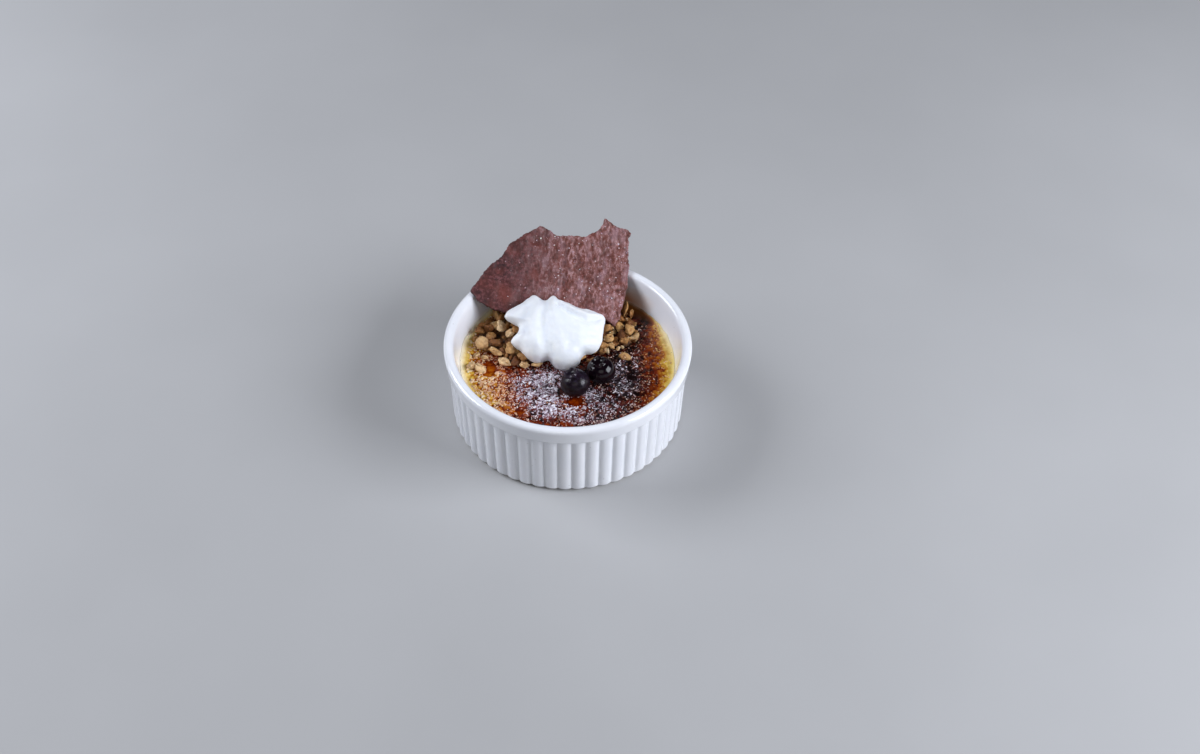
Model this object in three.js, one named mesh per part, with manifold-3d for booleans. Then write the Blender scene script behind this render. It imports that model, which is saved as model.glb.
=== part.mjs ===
// Creme brulee in a ribbed porcelain ramekin, topped with nut crumble, whipped cream,
// two blueberries and a shard of chocolate tuile.
// Millimetres, +Z up. The origin is the centre of the ramekin's flat underside.
// The front of the dessert, where the caramel lies open, faces -Y.
import * as THREE from "three";
import { mergeVertices } from "three/addons/utils/BufferGeometryUtils.js";
import Module from "manifold-3d";

const wasm = await Module();
wasm.setup();

// ---------------------------------------------------------------- driving dimensions
const GAP = 0.3; // air between touching pieces

const RIM_RADIUS = 48; // widest circle of the rolled rim
const RIM_HEIGHT = 36; // top of the rim above the table
const BAND_DEPTH = 6.8; // plain band under the rim, down to the ribs
const RIB_COUNT = 54;
const RIB_TOP_RADIUS = 46.6; // rib crests just under the band
const RIB_FOOT_RADIUS = 45.5; // rib crests at the table
const RIB_DEPTH = 0.95; // crest to groove
const FLOOR_THICKNESS = 4;
const INNER_RIM_RADIUS = 44.2; // inner edge of the rim
const INNER_FOOT_RADIUS = 40.6; // inner wall where it turns into the floor
const INNER_FILLET = 5;

const CUSTARD_LEVEL = 24; // highest point of the caramel crust
const CUSTARD_RADIUS = 41.7 - GAP; // at that level
const CRUST_RELIEF = 0.7; // how deep the crust's hollows are

const TUILE_THICKNESS = 1.4;
const TUILE_NORMAL = new THREE.Vector3(0.103, -0.44, 0.892).normalize();
const TUILE_ORIGIN = new THREE.Vector3(-4, 35.78, 39.13); // a point of its upper face

const CREAM_TILT = THREE.MathUtils.degToRad(21); // leans back onto the tuile
const CREAM_CENTRE = new THREE.Vector3(-5, 8.5, 31.2);
const CREAM_RISE = 8.2; // crown above its widest outline
const CREAM_DROP = 7.5; // belly below its widest outline

const BERRY_FLATTENING = 0.93; // stalk-to-calyx length over width

const RADIAL = 84; // facets round the ramekin
const TAU = 2 * Math.PI;
const GOLDEN_ANGLE = Math.PI * (3 - Math.sqrt(5));

// ---------------------------------------------------------------- solids and meshes

// A small seeded generator of numbers from 0 to 1.
function seededRandom(seed) {
  let state = seed >>> 0;
  return () => {
    state = (state + 0x6d2b79f5) >>> 0;
    let mixed = Math.imul(state ^ (state >>> 15), 1 | state);
    mixed = (mixed + Math.imul(mixed ^ (mixed >>> 7), 61 | mixed)) ^ mixed;
    return ((mixed ^ (mixed >>> 14)) >>> 0) / 4294967296;
  };
}

// Closed geometry to a solid: vertices are shared and collapsed triangles left out.
function toSolid(geometry) {
  const bare = geometry.clone();
  bare.deleteAttribute("normal");
  bare.deleteAttribute("uv");
  const merged = mergeVertices(bare, 1e-4);
  const triangles = [];
  for (let i = 0; i < merged.index.count; i += 3) {
    const corners = [0, 1, 2].map((k) => merged.index.getX(i + k));
    if (new Set(corners).size === 3) triangles.push(...corners);
  }
  const vertProperties = new Float32Array(merged.attributes.position.array);
  const triVerts = new Uint32Array(triangles);
  return new wasm.Manifold(new wasm.Mesh({ numProp: 3, vertProperties, triVerts }));
}

function toGeometry(solid) {
  const { vertProperties, triVerts, numProp } = solid.getMesh();
  const positions = new Float32Array((vertProperties.length / numProp) * 3);
  for (let i = 0; i * numProp < vertProperties.length; i += 1) {
    for (let k = 0; k < 3; k += 1) positions[3 * i + k] = vertProperties[numProp * i + k];
  }
  const geometry = new THREE.BufferGeometry();
  geometry.setAttribute("position", new THREE.BufferAttribute(positions, 3));
  geometry.setIndex(new THREE.BufferAttribute(new Uint32Array(triVerts), 1));
  geometry.computeVertexNormals();
  return geometry;
}

// A closed skin between two poles: pointAt(row, angle) gives rows 1 to rows - 1, and the
// poles are rows 0 (top) and rows (bottom).
function polarSkin(rows, segments, pointAt) {
  const positions = [...pointAt(0, 0)];
  for (let row = 1; row < rows; row += 1) {
    for (let s = 0; s < segments; s += 1) positions.push(...pointAt(row, (s * TAU) / segments));
  }
  positions.push(...pointAt(rows, 0));
  const last = positions.length / 3 - 1;
  const at = (row, s) => 1 + (row - 1) * segments + (s % segments);
  const index = [];
  for (let s = 0; s < segments; s += 1) {
    index.push(0, at(1, s), at(1, s + 1));
    index.push(last, at(rows - 1, s + 1), at(rows - 1, s));
    for (let row = 1; row < rows - 1; row += 1) {
      index.push(at(row, s), at(row + 1, s), at(row + 1, s + 1));
      index.push(at(row, s), at(row + 1, s + 1), at(row, s + 1));
    }
  }
  const geometry = new THREE.BufferGeometry();
  geometry.setAttribute("position", new THREE.Float32BufferAttribute(positions, 3));
  geometry.setIndex(index);
  return geometry;
}

// A profile of [radius, height] turned about +Z.
function turned(profile, segments) {
  const points = profile.map(([radius, height]) => new THREE.Vector2(radius, height));
  return new THREE.LatheGeometry(points, segments).rotateX(Math.PI / 2);
}

// A block given by its lowest and highest corners.
function block(low, high) {
  const size = high.map((value, k) => value - low[k]);
  const middle = high.map((value, k) => (value + low[k]) / 2);
  return new THREE.BoxGeometry(...size).translate(...middle);
}

// Points of a quarter or smaller arc, in degrees from +radius towards +height.
function arc(centreRadius, centreHeight, radius, fromDeg, toDeg, steps) {
  return Array.from({ length: steps + 1 }, (_, i) => {
    const angle = THREE.MathUtils.degToRad(fromDeg + ((toDeg - fromDeg) * i) / steps);
    return [centreRadius + radius * Math.cos(angle), centreHeight + radius * Math.sin(angle)];
  });
}

// ---------------------------------------------------------------- ramekin

// Radius of the inner wall at a height: a straight draft from the fillet up to the rim.
function innerRadius(height) {
  const start = FLOOR_THICKNESS + INNER_FILLET;
  const knee = CUSTARD_LEVEL;
  const atKnee = CUSTARD_RADIUS + GAP;
  if (height < knee) {
    const share = (height - start) / (knee - start);
    return INNER_FOOT_RADIUS + (atKnee - INNER_FOOT_RADIUS) * share;
  }
  const top = RIM_HEIGHT - 0.8;
  return atKnee + ((INNER_RIM_RADIUS - atKnee) * (height - knee)) / (top - knee);
}

function ramekin() {
  const bandFoot = RIM_HEIGHT - BAND_DEPTH;
  const bandRadius = RIM_RADIUS - 0.4;
  const hiddenWall = RIB_FOOT_RADIUS - RIB_DEPTH - 0.5; // inside the ribs' grooves
  const footRadius = hiddenWall - 0.3;
  const body = turned(
    [
      [0, 0],
      [footRadius, 0],
      [hiddenWall, 0.5],
      [hiddenWall, bandFoot - 0.1],
      [bandRadius - 0.6, bandFoot],
      [bandRadius, bandFoot + 0.6],
      [RIM_RADIUS - 0.05, RIM_HEIGHT - 2.4],
      ...arc(RIM_RADIUS - 1.5, RIM_HEIGHT - 1.4, 1.5, 0, 58, 2),
      [RIM_RADIUS - 1.9, RIM_HEIGHT],
      [INNER_RIM_RADIUS + 0.6, RIM_HEIGHT - 0.35],
      [INNER_RIM_RADIUS, RIM_HEIGHT - 1.1],
      [innerRadius(CUSTARD_LEVEL), CUSTARD_LEVEL],
      ...arc(
        INNER_FOOT_RADIUS - INNER_FILLET,
        FLOOR_THICKNESS + INNER_FILLET,
        INNER_FILLET,
        0,
        -90,
        3,
      ),
      [0, FLOOR_THICKNESS],
    ],
    RADIAL,
  );
  return toGeometry(toSolid(body).add(toSolid(ribs(hiddenWall - 0.5, bandFoot))));
}

// The reeded wall: a ring whose outside swells into rounded ribs with narrow grooves.
function ribs(innerWall, bandFoot) {
  const stepsPerRib = 4;
  const segments = RIB_COUNT * stepsPerRib;
  const underside = 0.25; // the ribs end just above the table
  const turnIn = 1.1; // and round in below this height
  const ring = turned(
    [
      [innerWall, underside],
      [RIB_FOOT_RADIUS - 0.8, underside],
      [RIB_FOOT_RADIUS, turnIn],
      [RIB_TOP_RADIUS, bandFoot + 0.2],
      [innerWall, bandFoot + 0.2],
      [innerWall, underside],
    ],
    segments,
  );
  const position = ring.attributes.position;
  for (let i = 0; i < position.count; i += 1) {
    const x = position.getX(i);
    const y = position.getY(i);
    const radius = Math.hypot(x, y);
    if (radius < innerWall + 0.5) continue;
    const turn = ((Math.atan2(y, x) / TAU) * RIB_COUNT + RIB_COUNT) % 1;
    const height = position.getZ(i);
    const depth = height < turnIn / 2 ? 0.25 * RIB_DEPTH : RIB_DEPTH;
    const lowered = radius - depth * grooveShape(turn);
    position.setX(i, (x / radius) * lowered);
    position.setY(i, (y / radius) * lowered);
  }
  return ring;
}

// 1 at a groove, 0 along the crest, for a place from 0 to 1 across one rib.
function grooveShape(turn) {
  const fromCrest = Math.abs(2 * turn - 1);
  return fromCrest ** 2.6;
}

// ---------------------------------------------------------------- custard

// Height of the crust above the table: low bumps, never above the custard's level.
function crustHeight(x, y) {
  const waves =
    Math.sin(x * 0.52 + 1.3 * Math.sin(y * 0.21)) * Math.cos(y * 0.47 - 0.8) +
    0.6 * Math.sin(x * 0.93 - y * 0.71 + 2.1);
  return CUSTARD_LEVEL - (CRUST_RELIEF * (1.6 - waves)) / 3.2;
}

function custard() {
  const topRings = 8;
  const wall = [
    [CUSTARD_RADIUS, CUSTARD_LEVEL - CRUST_RELIEF],
    [innerRadius(16) - GAP, 16],
    ...arc(
      INNER_FOOT_RADIUS - INNER_FILLET,
      FLOOR_THICKNESS + INNER_FILLET,
      INNER_FILLET - GAP,
      0,
      -80,
      3,
    ),
  ];
  const rows = topRings + wall.length + 1;
  return polarSkin(rows, 42, (row, angle) => {
    const cos = Math.cos(angle);
    const sin = Math.sin(angle);
    if (row === 0) return [0, 0, crustHeight(0, 0)];
    if (row === rows) return [0, 0, FLOOR_THICKNESS + GAP];
    if (row <= topRings) {
      const radius = (CUSTARD_RADIUS - 0.4) * (row / topRings);
      return [radius * cos, radius * sin, crustHeight(radius * cos, radius * sin)];
    }
    const [radius, height] = wall[row - topRings - 1];
    return [radius * cos, radius * sin, height];
  });
}

// ---------------------------------------------------------------- nut pieces

// One chopped nut: a knobbly stone of 20 triangles. semi is its three half lengths.
function nutPiece(random, centre, semi, turn) {
  const stone = new THREE.IcosahedronGeometry(1, 0);
  stone.deleteAttribute("normal");
  stone.deleteAttribute("uv");
  const merged = mergeVertices(stone, 1e-4);
  const position = merged.attributes.position;
  for (let i = 0; i < position.count; i += 1) {
    const swell = 0.86 + 0.28 * random();
    position.setXYZ(
      i,
      position.getX(i) * swell * semi[0],
      position.getY(i) * swell * semi[1],
      position.getZ(i) * swell * semi[2],
    );
  }
  merged.rotateX((random() - 0.5) * 0.9);
  merged.rotateY((random() - 0.5) * 0.9);
  merged.rotateZ(turn);
  merged.translate(...centre);
  return toSolid(merged);
}

// Low mounds that carry the nuts: [x, y, half length, half width, height].
const MOUNDS = [
  [-28.5, 12, 11.5, 12, 2.0],
  [-19, 1.5, 11, 5.5, 1.4],
  [-4, 11, 17, 10.5, 2.2],
  [16, 11, 9, 11, 1.9],
  [22, 20, 5.5, 7, 2.0],
];

function moundSurface(x, y) {
  let height = 0;
  for (const [mx, my, halfX, halfY, rise] of MOUNDS) {
    const spread = ((x - mx) / halfX) ** 2 + ((y - my) / halfY) ** 2;
    if (spread < 1) height = Math.max(height, rise * Math.sqrt(1 - spread));
  }
  return height;
}

function moundCore(grown) {
  const floor = CUSTARD_LEVEL + GAP - grown;
  const cores = MOUNDS.map(([x, y, halfX, halfY, rise]) => {
    const ball = new THREE.SphereGeometry(1, 20, 10).rotateX(Math.PI / 2);
    ball.scale(halfX + grown, halfY + grown, rise + grown);
    return toSolid(ball.translate(x, y, floor + grown));
  });
  const below = toSolid(block([-60, -60, floor - 10], [60, 60, floor]));
  return wasm.Manifold.union(cores).subtract(below);
}

// The pieces that stand out: [x, y, centre height over the crust, half lengths, turn in degrees].
const SHOWING_NUTS = [
  [-34.1, 6.9, 2.4, [2.7, 2.6, 2.5], 0],
  [-27.0, 14.9, 3.9, [2.4, 2.2, 1.9], 40],
  [-21.6, 9.2, 4.0, [2.9, 1.6, 1.6], 65],
  [-28.6, 21.6, 3.2, [3.2, 1.3, 1.5], 115],
  [-33.8, 17.4, 2.7, [2.6, 1.4, 1.3], 140],
  [-36.2, 12.0, 2.2, [2.6, 1.7, 1.2], 20],
  [-27.2, 6.4, 2.9, [2.9, 1.5, 1.3], 10],
  [-28.2, 1.6, 2.4, [3.1, 1.5, 1.2], 160],
  [-22.3, 1.8, 2.9, [1.8, 2.9, 1.6], 15],
  [-17.0, -1.2, 2.2, [1.4, 2.6, 1.4], 35],
  [-24.6, -2.4, 1.6, [2.5, 1.5, 1.2], 155],
  [-18.0, -4.6, 1.4, [2.0, 1.2, 1.0], 170],
  [-12.4, -4.8, 1.4, [2.3, 1.1, 1.0], 5],
  [17.2, 8.4, 3.0, [1.4, 2.5, 1.5], 25],
  [17.8, 13.6, 3.6, [1.9, 1.6, 1.6], 70],
  [24.2, 12.6, 3.2, [2.0, 2.4, 1.8], 100],
  [22.6, 7.8, 2.2, [2.4, 1.7, 1.4], 20],
  [25.6, 18.6, 3.3, [1.2, 3.1, 1.7], 8],
  [23.8, 24.4, 2.7, [1.0, 3.4, 1.6], 12],
  [21.6, 16.2, 3.2, [1.1, 2.6, 1.6], 165],
  [15.6, 3.6, 2.0, [2.2, 1.5, 1.3], 150],
  [9.4, -1.4, 1.6, [2.3, 1.4, 1.2], 15],
];

// Single nuts that lie apart on the crust: [x, y, half lengths, turn in degrees].
const STRAY_NUTS = [
  [-34.6, -3.9, [3.4, 1.6, 1.1], 172],
  [-38.4, 1.6, [1.8, 1.2, 1.0], 120],
  [-31.4, -1.6, [1.9, 1.1, 0.9], 30],
  [22.4, 0.2, [2.5, 1.4, 1.1], 4],
];

// Spread evenly over the mounds, on a sunflower spiral, to close the cover between the others.
function fillingNuts(random) {
  const places = [];
  for (const [x, y, halfX, halfY] of MOUNDS) {
    const count = Math.round((halfX * halfY) / 3);
    for (let i = 0; i < count; i += 1) {
      const reach = Math.sqrt((i + 0.5) / count) * 0.97;
      const angle = i * GOLDEN_ANGLE + x;
      const px = x + reach * halfX * Math.cos(angle);
      const py = y + reach * halfY * Math.sin(angle);
      const size = 1.5 + 0.8 * random();
      const semi = [size * 1.3, size, size * 0.9];
      places.push([px, py, moundSurface(px, py) + 0.5 * semi[2], semi, random() * 360]);
    }
  }
  return places;
}

function nutSolid(random, [x, y, lift, semi, turnDeg]) {
  const centre = [x, y, CUSTARD_LEVEL + GAP + lift];
  return nutPiece(random, centre, semi, THREE.MathUtils.degToRad(turnDeg));
}

function strayNut(random, [x, y, semi, turnDeg]) {
  const centre = [x, y, crustHeight(x, y) + 0.5 * semi[2]];
  return nutPiece(random, centre, semi, THREE.MathUtils.degToRad(turnDeg));
}

function overlaps(solid, others) {
  return others.some((other) => solid.intersect(other).volume() > 1e-6);
}

function nutCrumble(keepClear) {
  const random = seededRandom(29);
  const floor = CUSTARD_LEVEL + GAP;
  const below = toSolid(block([-60, -60, floor - 10], [60, 60, floor]));
  const pieces = [];
  const placed = [];
  for (const place of [...SHOWING_NUTS, ...fillingNuts(random)]) {
    const [x, y, , semi] = place;
    const spacing = 0.6;
    const crowded = placed.some(([px, py, size]) => {
      return Math.hypot(px - x, py - y) < spacing * (size + semi[0]);
    });
    if (placed.length >= SHOWING_NUTS.length && crowded) continue;
    const piece = nutSolid(random, place);
    if (overlaps(piece, keepClear)) continue;
    placed.push([x, y, semi[0]]);
    pieces.push(piece);
  }
  const core = keepClear.reduce((rest, other) => rest.subtract(other), moundCore(0));
  const heap = wasm.Manifold.union([core, ...pieces]).subtract(below);
  return largestBody(heap);
}

// A union may leave a scrap that a cut parted from the rest; only the main body stays.
function largestBody(solid) {
  const bodies = solid.decompose();
  return bodies.reduce((best, body) => (body.volume() > best.volume() ? body : best));
}

// ---------------------------------------------------------------- whipped cream

// The outline of the cream in its own leaning plane: [degrees, radius].
const CREAM_OUTLINE = [
  [0, 18.2],
  [20, 20.4],
  [36, 17.2],
  [52, 13.8],
  [70, 13.2],
  [82, 13.8],
  [94, 16.6],
  [106, 14.6],
  [119, 18.8],
  [136, 18.7],
  [152, 20.4],
  [163, 20.4],
  [173, 15.0],
  [184, 15.4],
  [194, 17.3],
  [208, 15.4],
  [226, 15.0],
  [243, 14.3],
  [256, 11.2],
  [272, 13.9],
  [294, 15.9],
  [308, 15.2],
  [318, 14.1],
  [330, 15.8],
  [346, 17.8],
];

// Smooth closed interpolation through the outline's points.
function creamRadius(angle) {
  const degrees = ((THREE.MathUtils.radToDeg(angle) % 360) + 360) % 360;
  const count = CREAM_OUTLINE.length;
  let i = count - 1;
  while (i > 0 && CREAM_OUTLINE[i][0] > degrees) i -= 1;
  const pick = (k) => CREAM_OUTLINE[(k + count) % count];
  const start = pick(i)[0];
  const end = i + 1 < count ? pick(i + 1)[0] : 360;
  const t = (degrees - start) / (end - start);
  const [r0, r1, r2, r3] = [pick(i - 1)[1], pick(i)[1], pick(i + 1)[1], pick(i + 2)[1]];
  const slope1 = (r2 - r0) / 2;
  const slope2 = (r3 - r1) / 2;
  const t2 = t * t;
  const t3 = t2 * t;
  return (
    (2 * t3 - 3 * t2 + 1) * r1 +
    (t3 - 2 * t2 + t) * slope1 +
    (-2 * t3 + 3 * t2) * r2 +
    (t3 - t2) * slope2
  );
}

const CREAM_MEAN_RADIUS = 16;
const CREAM_VALLEY_X = -3; // a soft valley runs from the back of the dollop to its front
const CREAM_VALLEY_HALF_WIDTH = 3.6;
const CREAM_VALLEY_DEPTH = 2.6;

// The dollop: lobes at the edge that fade towards the crown, and a valley down the middle.
function creamSkin(grown) {
  const rows = 12;
  const place = new THREE.Matrix4()
    .makeRotationX(CREAM_TILT)
    .setPosition(CREAM_CENTRE.x, CREAM_CENTRE.y, CREAM_CENTRE.z);
  return polarSkin(rows, 54, (row, angle) => {
    const climb = Math.PI / 2 - (row * Math.PI) / rows;
    const out = Math.max(Math.cos(climb), 0) ** (climb > 0 ? 0.85 : 1.3);
    const lobe = (creamRadius(angle) - CREAM_MEAN_RADIUS) * out ** 1.5;
    const radius = (CREAM_MEAN_RADIUS + lobe + grown) * out;
    const x = radius * Math.cos(angle);
    const y = radius * Math.sin(angle);
    const above = Math.max(Math.sin(climb), 0);
    const valley = Math.exp(-(((x - CREAM_VALLEY_X) / CREAM_VALLEY_HALF_WIDTH) ** 2)) * above;
    const rise = climb > 0 ? CREAM_RISE : CREAM_DROP;
    const height = (rise + grown) * Math.sin(climb) - CREAM_VALLEY_DEPTH * valley;
    const point = new THREE.Vector3(x, y, height).applyMatrix4(place);
    return [point.x, point.y, point.z];
  });
}

function whippedCream() {
  const floor = CUSTARD_LEVEL + GAP;
  const below = toSolid(block([-60, -60, floor - 20], [60, 60, floor]));
  const lowerEdge = -19.9; // the tuile ends here, under the cream
  const behind = block([-50, lowerEdge, -30], [40, 50, TUILE_WAVE + GAP]);
  behind.applyMatrix4(tuileFrame());
  const body = toSolid(creamSkin(0))
    .subtract(below)
    .subtract(moundCore(GAP))
    .subtract(toSolid(behind));
  return largestBody(body);
}

// ---------------------------------------------------------------- blueberries

// A berry turned about the line from stalk to calyx, with the calyx's raised crown.
function berry({ radius, centre, calyx }) {
  const crownRadius = 0.42 * radius;
  const length = radius * BERRY_FLATTENING;
  const profile = [[0, 0.78 * length], [0.6 * crownRadius, 0.8 * length]];
  profile.push([0.86 * crownRadius, 0.96 * length]);
  profile.push([crownRadius, 1.0 * length]);
  profile.push([1.14 * crownRadius, 0.93 * length]);
  for (const latitude of [48, 28, 8, -12, -32, -52, -72]) {
    const angle = THREE.MathUtils.degToRad(latitude);
    profile.push([radius * Math.cos(angle), length * Math.sin(angle)]);
  }
  profile.push([0, -length]);
  const skin = turned(profile.reverse(), 20);
  const up = new THREE.Vector3(0, 0, 1);
  const aim = new THREE.Vector3(...calyx).normalize();
  skin.applyQuaternion(new THREE.Quaternion().setFromUnitVectors(up, aim));
  return skin.translate(...centre);
}

const BERRY_FRONT = { radius: 5.5, centre: [3.2, -15.9, 29.45], calyx: [-0.35, 0.2, 0.92] };
const BERRY_BACK = { radius: 5.35, centre: [13.0, -8.6, 29.3], calyx: [-0.22, 0.05, 0.97] };

// ---------------------------------------------------------------- chocolate tuile

const TUILE_WAVE = 1.1; // highest wave above the flat upper face

// The broken outline in the tuile's own plane: x to the right, y up its slope.
const TUILE_OUTLINE = [
  [-34.8, -10.4],
  [-32.5, -13.8],
  [-28.1, -16.7],
  [-22.0, -18.5],
  [-10, -18.6],
  [4, -19.4],
  [18.2, -19.5],
  [22.1, -22.0],
  [24.1, -18.6],
  [26.5, -7.7],
  [27.6, 3],
  [27.0, 15.2],
  [28.2, 17.6],
  [27.0, 18.8],
  [23.4, 20.0],
  [17.4, 23.3],
  [15.8, 18.5],
  [9.7, 15.4],
  [-1.7, 14.9],
  [-5.8, 18.0],
  [-8.6, 18.7],
  [-13.0, 15.7],
  [-19.9, 10.8],
  [-23.4, 5.0],
  [-28.7, -0.2],
  [-34.8, -9.4],
];

function tuileFrame() {
  const right = new THREE.Vector3(1, 0, 0);
  right.addScaledVector(TUILE_NORMAL, -right.dot(TUILE_NORMAL)).normalize();
  const slope = new THREE.Vector3().crossVectors(TUILE_NORMAL, right);
  return new THREE.Matrix4().makeBasis(right, slope, TUILE_NORMAL).setPosition(TUILE_ORIGIN);
}

// Where the shard lies on the rim, it is flat: [x, y] in its plane.
const RIM_CONTACTS = [
  [-34.2, -9.8],
  [27, 1.5],
];

// Waves run up the slope, and one blister stands at the lower left.
function tuileWave(x, y) {
  const across = 0.5 + 0.5 * Math.sin((TAU * x) / 13 + 0.9 * Math.sin(y / 7));
  const along = 0.5 + 0.5 * Math.sin((TAU * y) / 19 + x / 11);
  const blister = Math.exp(-(((x + 22) / 4.2) ** 2) - ((y + 10.5) / 3.6) ** 2);
  const lying = RIM_CONTACTS.reduce((least, [cx, cy]) => {
    return Math.min(least, 1 - Math.exp(-(((x - cx) / 8) ** 2) - ((y - cy) / 8) ** 2));
  }, 1);
  return TUILE_WAVE * lying * Math.min(0.55 * across + 0.25 * along + 0.6 * blister, 1);
}

function chocolateTuile() {
  const cell = 3.5;
  const left = -36;
  const bottom = -24;
  const columns = 19;
  const lines = 14;
  const width = columns * cell;
  const height = lines * cell;
  const slab = new THREE.BoxGeometry(width, height, TUILE_THICKNESS, columns, lines, 1);
  slab.translate(left + width / 2, bottom + height / 2, -TUILE_THICKNESS / 2);
  const position = slab.attributes.position;
  for (let i = 0; i < position.count; i += 1) {
    const wave = tuileWave(position.getX(i), position.getY(i));
    position.setZ(i, position.getZ(i) + wave);
  }
  const outline = new THREE.Shape(TUILE_OUTLINE.map(([x, y]) => new THREE.Vector2(x, y)));
  const cutter = new THREE.ExtrudeGeometry(outline, { depth: 8, bevelEnabled: false });
  cutter.translate(0, 0, -4);
  const shard = toSolid(slab).intersect(toSolid(cutter));
  return toGeometry(shard).applyMatrix4(tuileFrame());
}

// ---------------------------------------------------------------- the dessert

const dessert = new THREE.Group();

function addPiece(name, geometry, color, roughness) {
  const material = new THREE.MeshStandardMaterial({ color, roughness, metalness: 0 });
  const mesh = new THREE.Mesh(geometry, material);
  mesh.name = name;
  dessert.add(mesh);
}

const tuile = chocolateTuile();
const berryFront = berry(BERRY_FRONT);
const berryBack = berry(BERRY_BACK);

// The bowl and the other toppings, each grown by the gap, which no nut may enter.
function grownBerry({ radius, centre }) {
  const ball = new THREE.SphereGeometry(radius + GAP, 20, 12).translate(...centre);
  return toSolid(ball);
}

const outsideBowl = turned(
  [
    [innerRadius(CUSTARD_LEVEL) - GAP, CUSTARD_LEVEL - 2],
    [80, CUSTARD_LEVEL - 2],
    [80, RIM_HEIGHT + 4],
    [innerRadius(RIM_HEIGHT) - GAP, RIM_HEIGHT + 4],
    [innerRadius(CUSTARD_LEVEL) - GAP, CUSTARD_LEVEL - 2],
  ],
  RADIAL,
);
const tuileSpace = block([-40, -22.8, -TUILE_THICKNESS - GAP], [32, 26, TUILE_WAVE + GAP]);
tuileSpace.applyMatrix4(tuileFrame());
const tuileRightSide = block([25.8, -24, -9], [40, 26, 9]).applyMatrix4(tuileFrame());
const keepClear = [
  toSolid(outsideBowl),
  toSolid(tuileSpace).subtract(toSolid(tuileRightSide)),
  toSolid(creamSkin(GAP)),
  grownBerry(BERRY_FRONT),
  grownBerry(BERRY_BACK),
];

const heap = nutCrumble(keepClear);

// The custard carries the nuts that lie apart, sunk a little into the crust.
function dressedCustard() {
  const random = seededRandom(5);
  const strays = STRAY_NUTS.map((place) => strayNut(random, place));
  return toGeometry(wasm.Manifold.union([toSolid(custard()), ...strays]));
}

addPiece("ramekin", ramekin(), 0xf3f4f6, 0.18);
addPiece("custard", dressedCustard(), 0x9a4a17, 0.35);
addPiece("nut_crumble", toGeometry(heap), 0xc79c62, 0.7);
addPiece("whipped_cream", toGeometry(whippedCream()), 0xf7f8fb, 0.45);
addPiece("berry_front", toGeometry(toSolid(berryFront)), 0x14131f, 0.25);
addPiece("berry_back", toGeometry(toSolid(berryBack)), 0x14131f, 0.25);
addPiece("chocolate_tuile", tuile, 0x6b3f3a, 0.6);

export default dessert;
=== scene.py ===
# %% [markdown]
# # A creme brulee in its ramekin
# This lesson dresses a small dessert: a ribbed porcelain ramekin, custard under a burnt sugar
# crust, chopped nuts, a dollop of whipped cream, two blueberries and a shard of chocolate
# tuile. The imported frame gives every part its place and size. The looks are made around it.
# Lengths in this file are millimetres, and one helper turns them into Blender's metres.

# %% Load the fixed frame
import math

import bpy
import numpy as np
from mathutils import Matrix, Vector, geometry


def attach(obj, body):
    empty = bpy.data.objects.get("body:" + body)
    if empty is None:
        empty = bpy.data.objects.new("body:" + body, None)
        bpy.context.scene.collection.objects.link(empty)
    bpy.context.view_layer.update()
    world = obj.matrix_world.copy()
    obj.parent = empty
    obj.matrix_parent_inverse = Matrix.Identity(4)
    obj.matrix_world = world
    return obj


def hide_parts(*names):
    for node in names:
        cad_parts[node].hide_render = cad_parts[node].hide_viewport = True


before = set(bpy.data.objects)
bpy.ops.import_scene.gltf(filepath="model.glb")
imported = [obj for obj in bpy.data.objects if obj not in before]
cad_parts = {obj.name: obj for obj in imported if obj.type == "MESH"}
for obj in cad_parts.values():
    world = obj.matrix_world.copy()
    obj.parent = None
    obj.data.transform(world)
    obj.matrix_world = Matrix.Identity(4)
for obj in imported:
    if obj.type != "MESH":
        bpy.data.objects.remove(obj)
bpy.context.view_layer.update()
MM = 0.001
TAU = 2 * math.pi
print("CAD nodes:", ", ".join(sorted(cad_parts)))

# %% [markdown]
# ## Camera
# The dessert is seen from in front and above, at 46 degrees, from 0.7 m away, with a long
# lens, so the round rim shows as a calm ellipse. The camera leans about one degree to the
# side. A camera can be aimed by a constraint or by angles. Here its three axes are written
# out, because the small lean is then a plain turn of two of them.

# %% Camera
VIEW_ELEVATION = math.radians(46.32)
VIEW_DISTANCE = 692.0
VIEW_LEAN = 0.0194  # radians
VIEW_TARGET = Vector((12.65, -17.99, 34.8))  # the middle of the view
VIEW_LENS = 54.69
SENSOR_WIDTH = 36
NEAREST_VIEW = 0.01  # metres


def make_camera():
    back = Vector((0, -math.cos(VIEW_ELEVATION), math.sin(VIEW_ELEVATION)))
    level_right = Vector((1, 0, 0))
    level_up = back.cross(level_right)
    right = level_right * math.cos(VIEW_LEAN) + level_up * math.sin(VIEW_LEAN)
    up = level_up * math.cos(VIEW_LEAN) - level_right * math.sin(VIEW_LEAN)
    data = bpy.data.cameras.new("main_camera")
    data.sensor_width = SENSOR_WIDTH
    data.lens = VIEW_LENS
    data.clip_start = NEAREST_VIEW
    camera = bpy.data.objects.new("main_camera", data)
    bpy.context.collection.objects.link(camera)
    axes = Matrix((right, up, back)).transposed()
    place = (VIEW_TARGET + back * VIEW_DISTANCE) * MM
    camera.matrix_world = Matrix.Translation(place) @ axes.to_4x4()
    bpy.context.scene.camera = camera
    print("camera at", [round(c, 3) for c in place])


make_camera()

# %% [markdown]
# ## Light
# Food like this is lit from the sides: two soft boxes draw the ribs of the dish, put one
# small square of light on each side of a berry, and leave the dark caramel dark, because
# nothing bright stands where a level mirror would send the view. The right box is the
# stronger one and stands a little in front. The left one stands higher and a little behind,
# so the cream and the inner wall glow and the front of the dish stays in soft shade. A weak
# third box in front of the dish opens the deep shadow under the shard.

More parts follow.
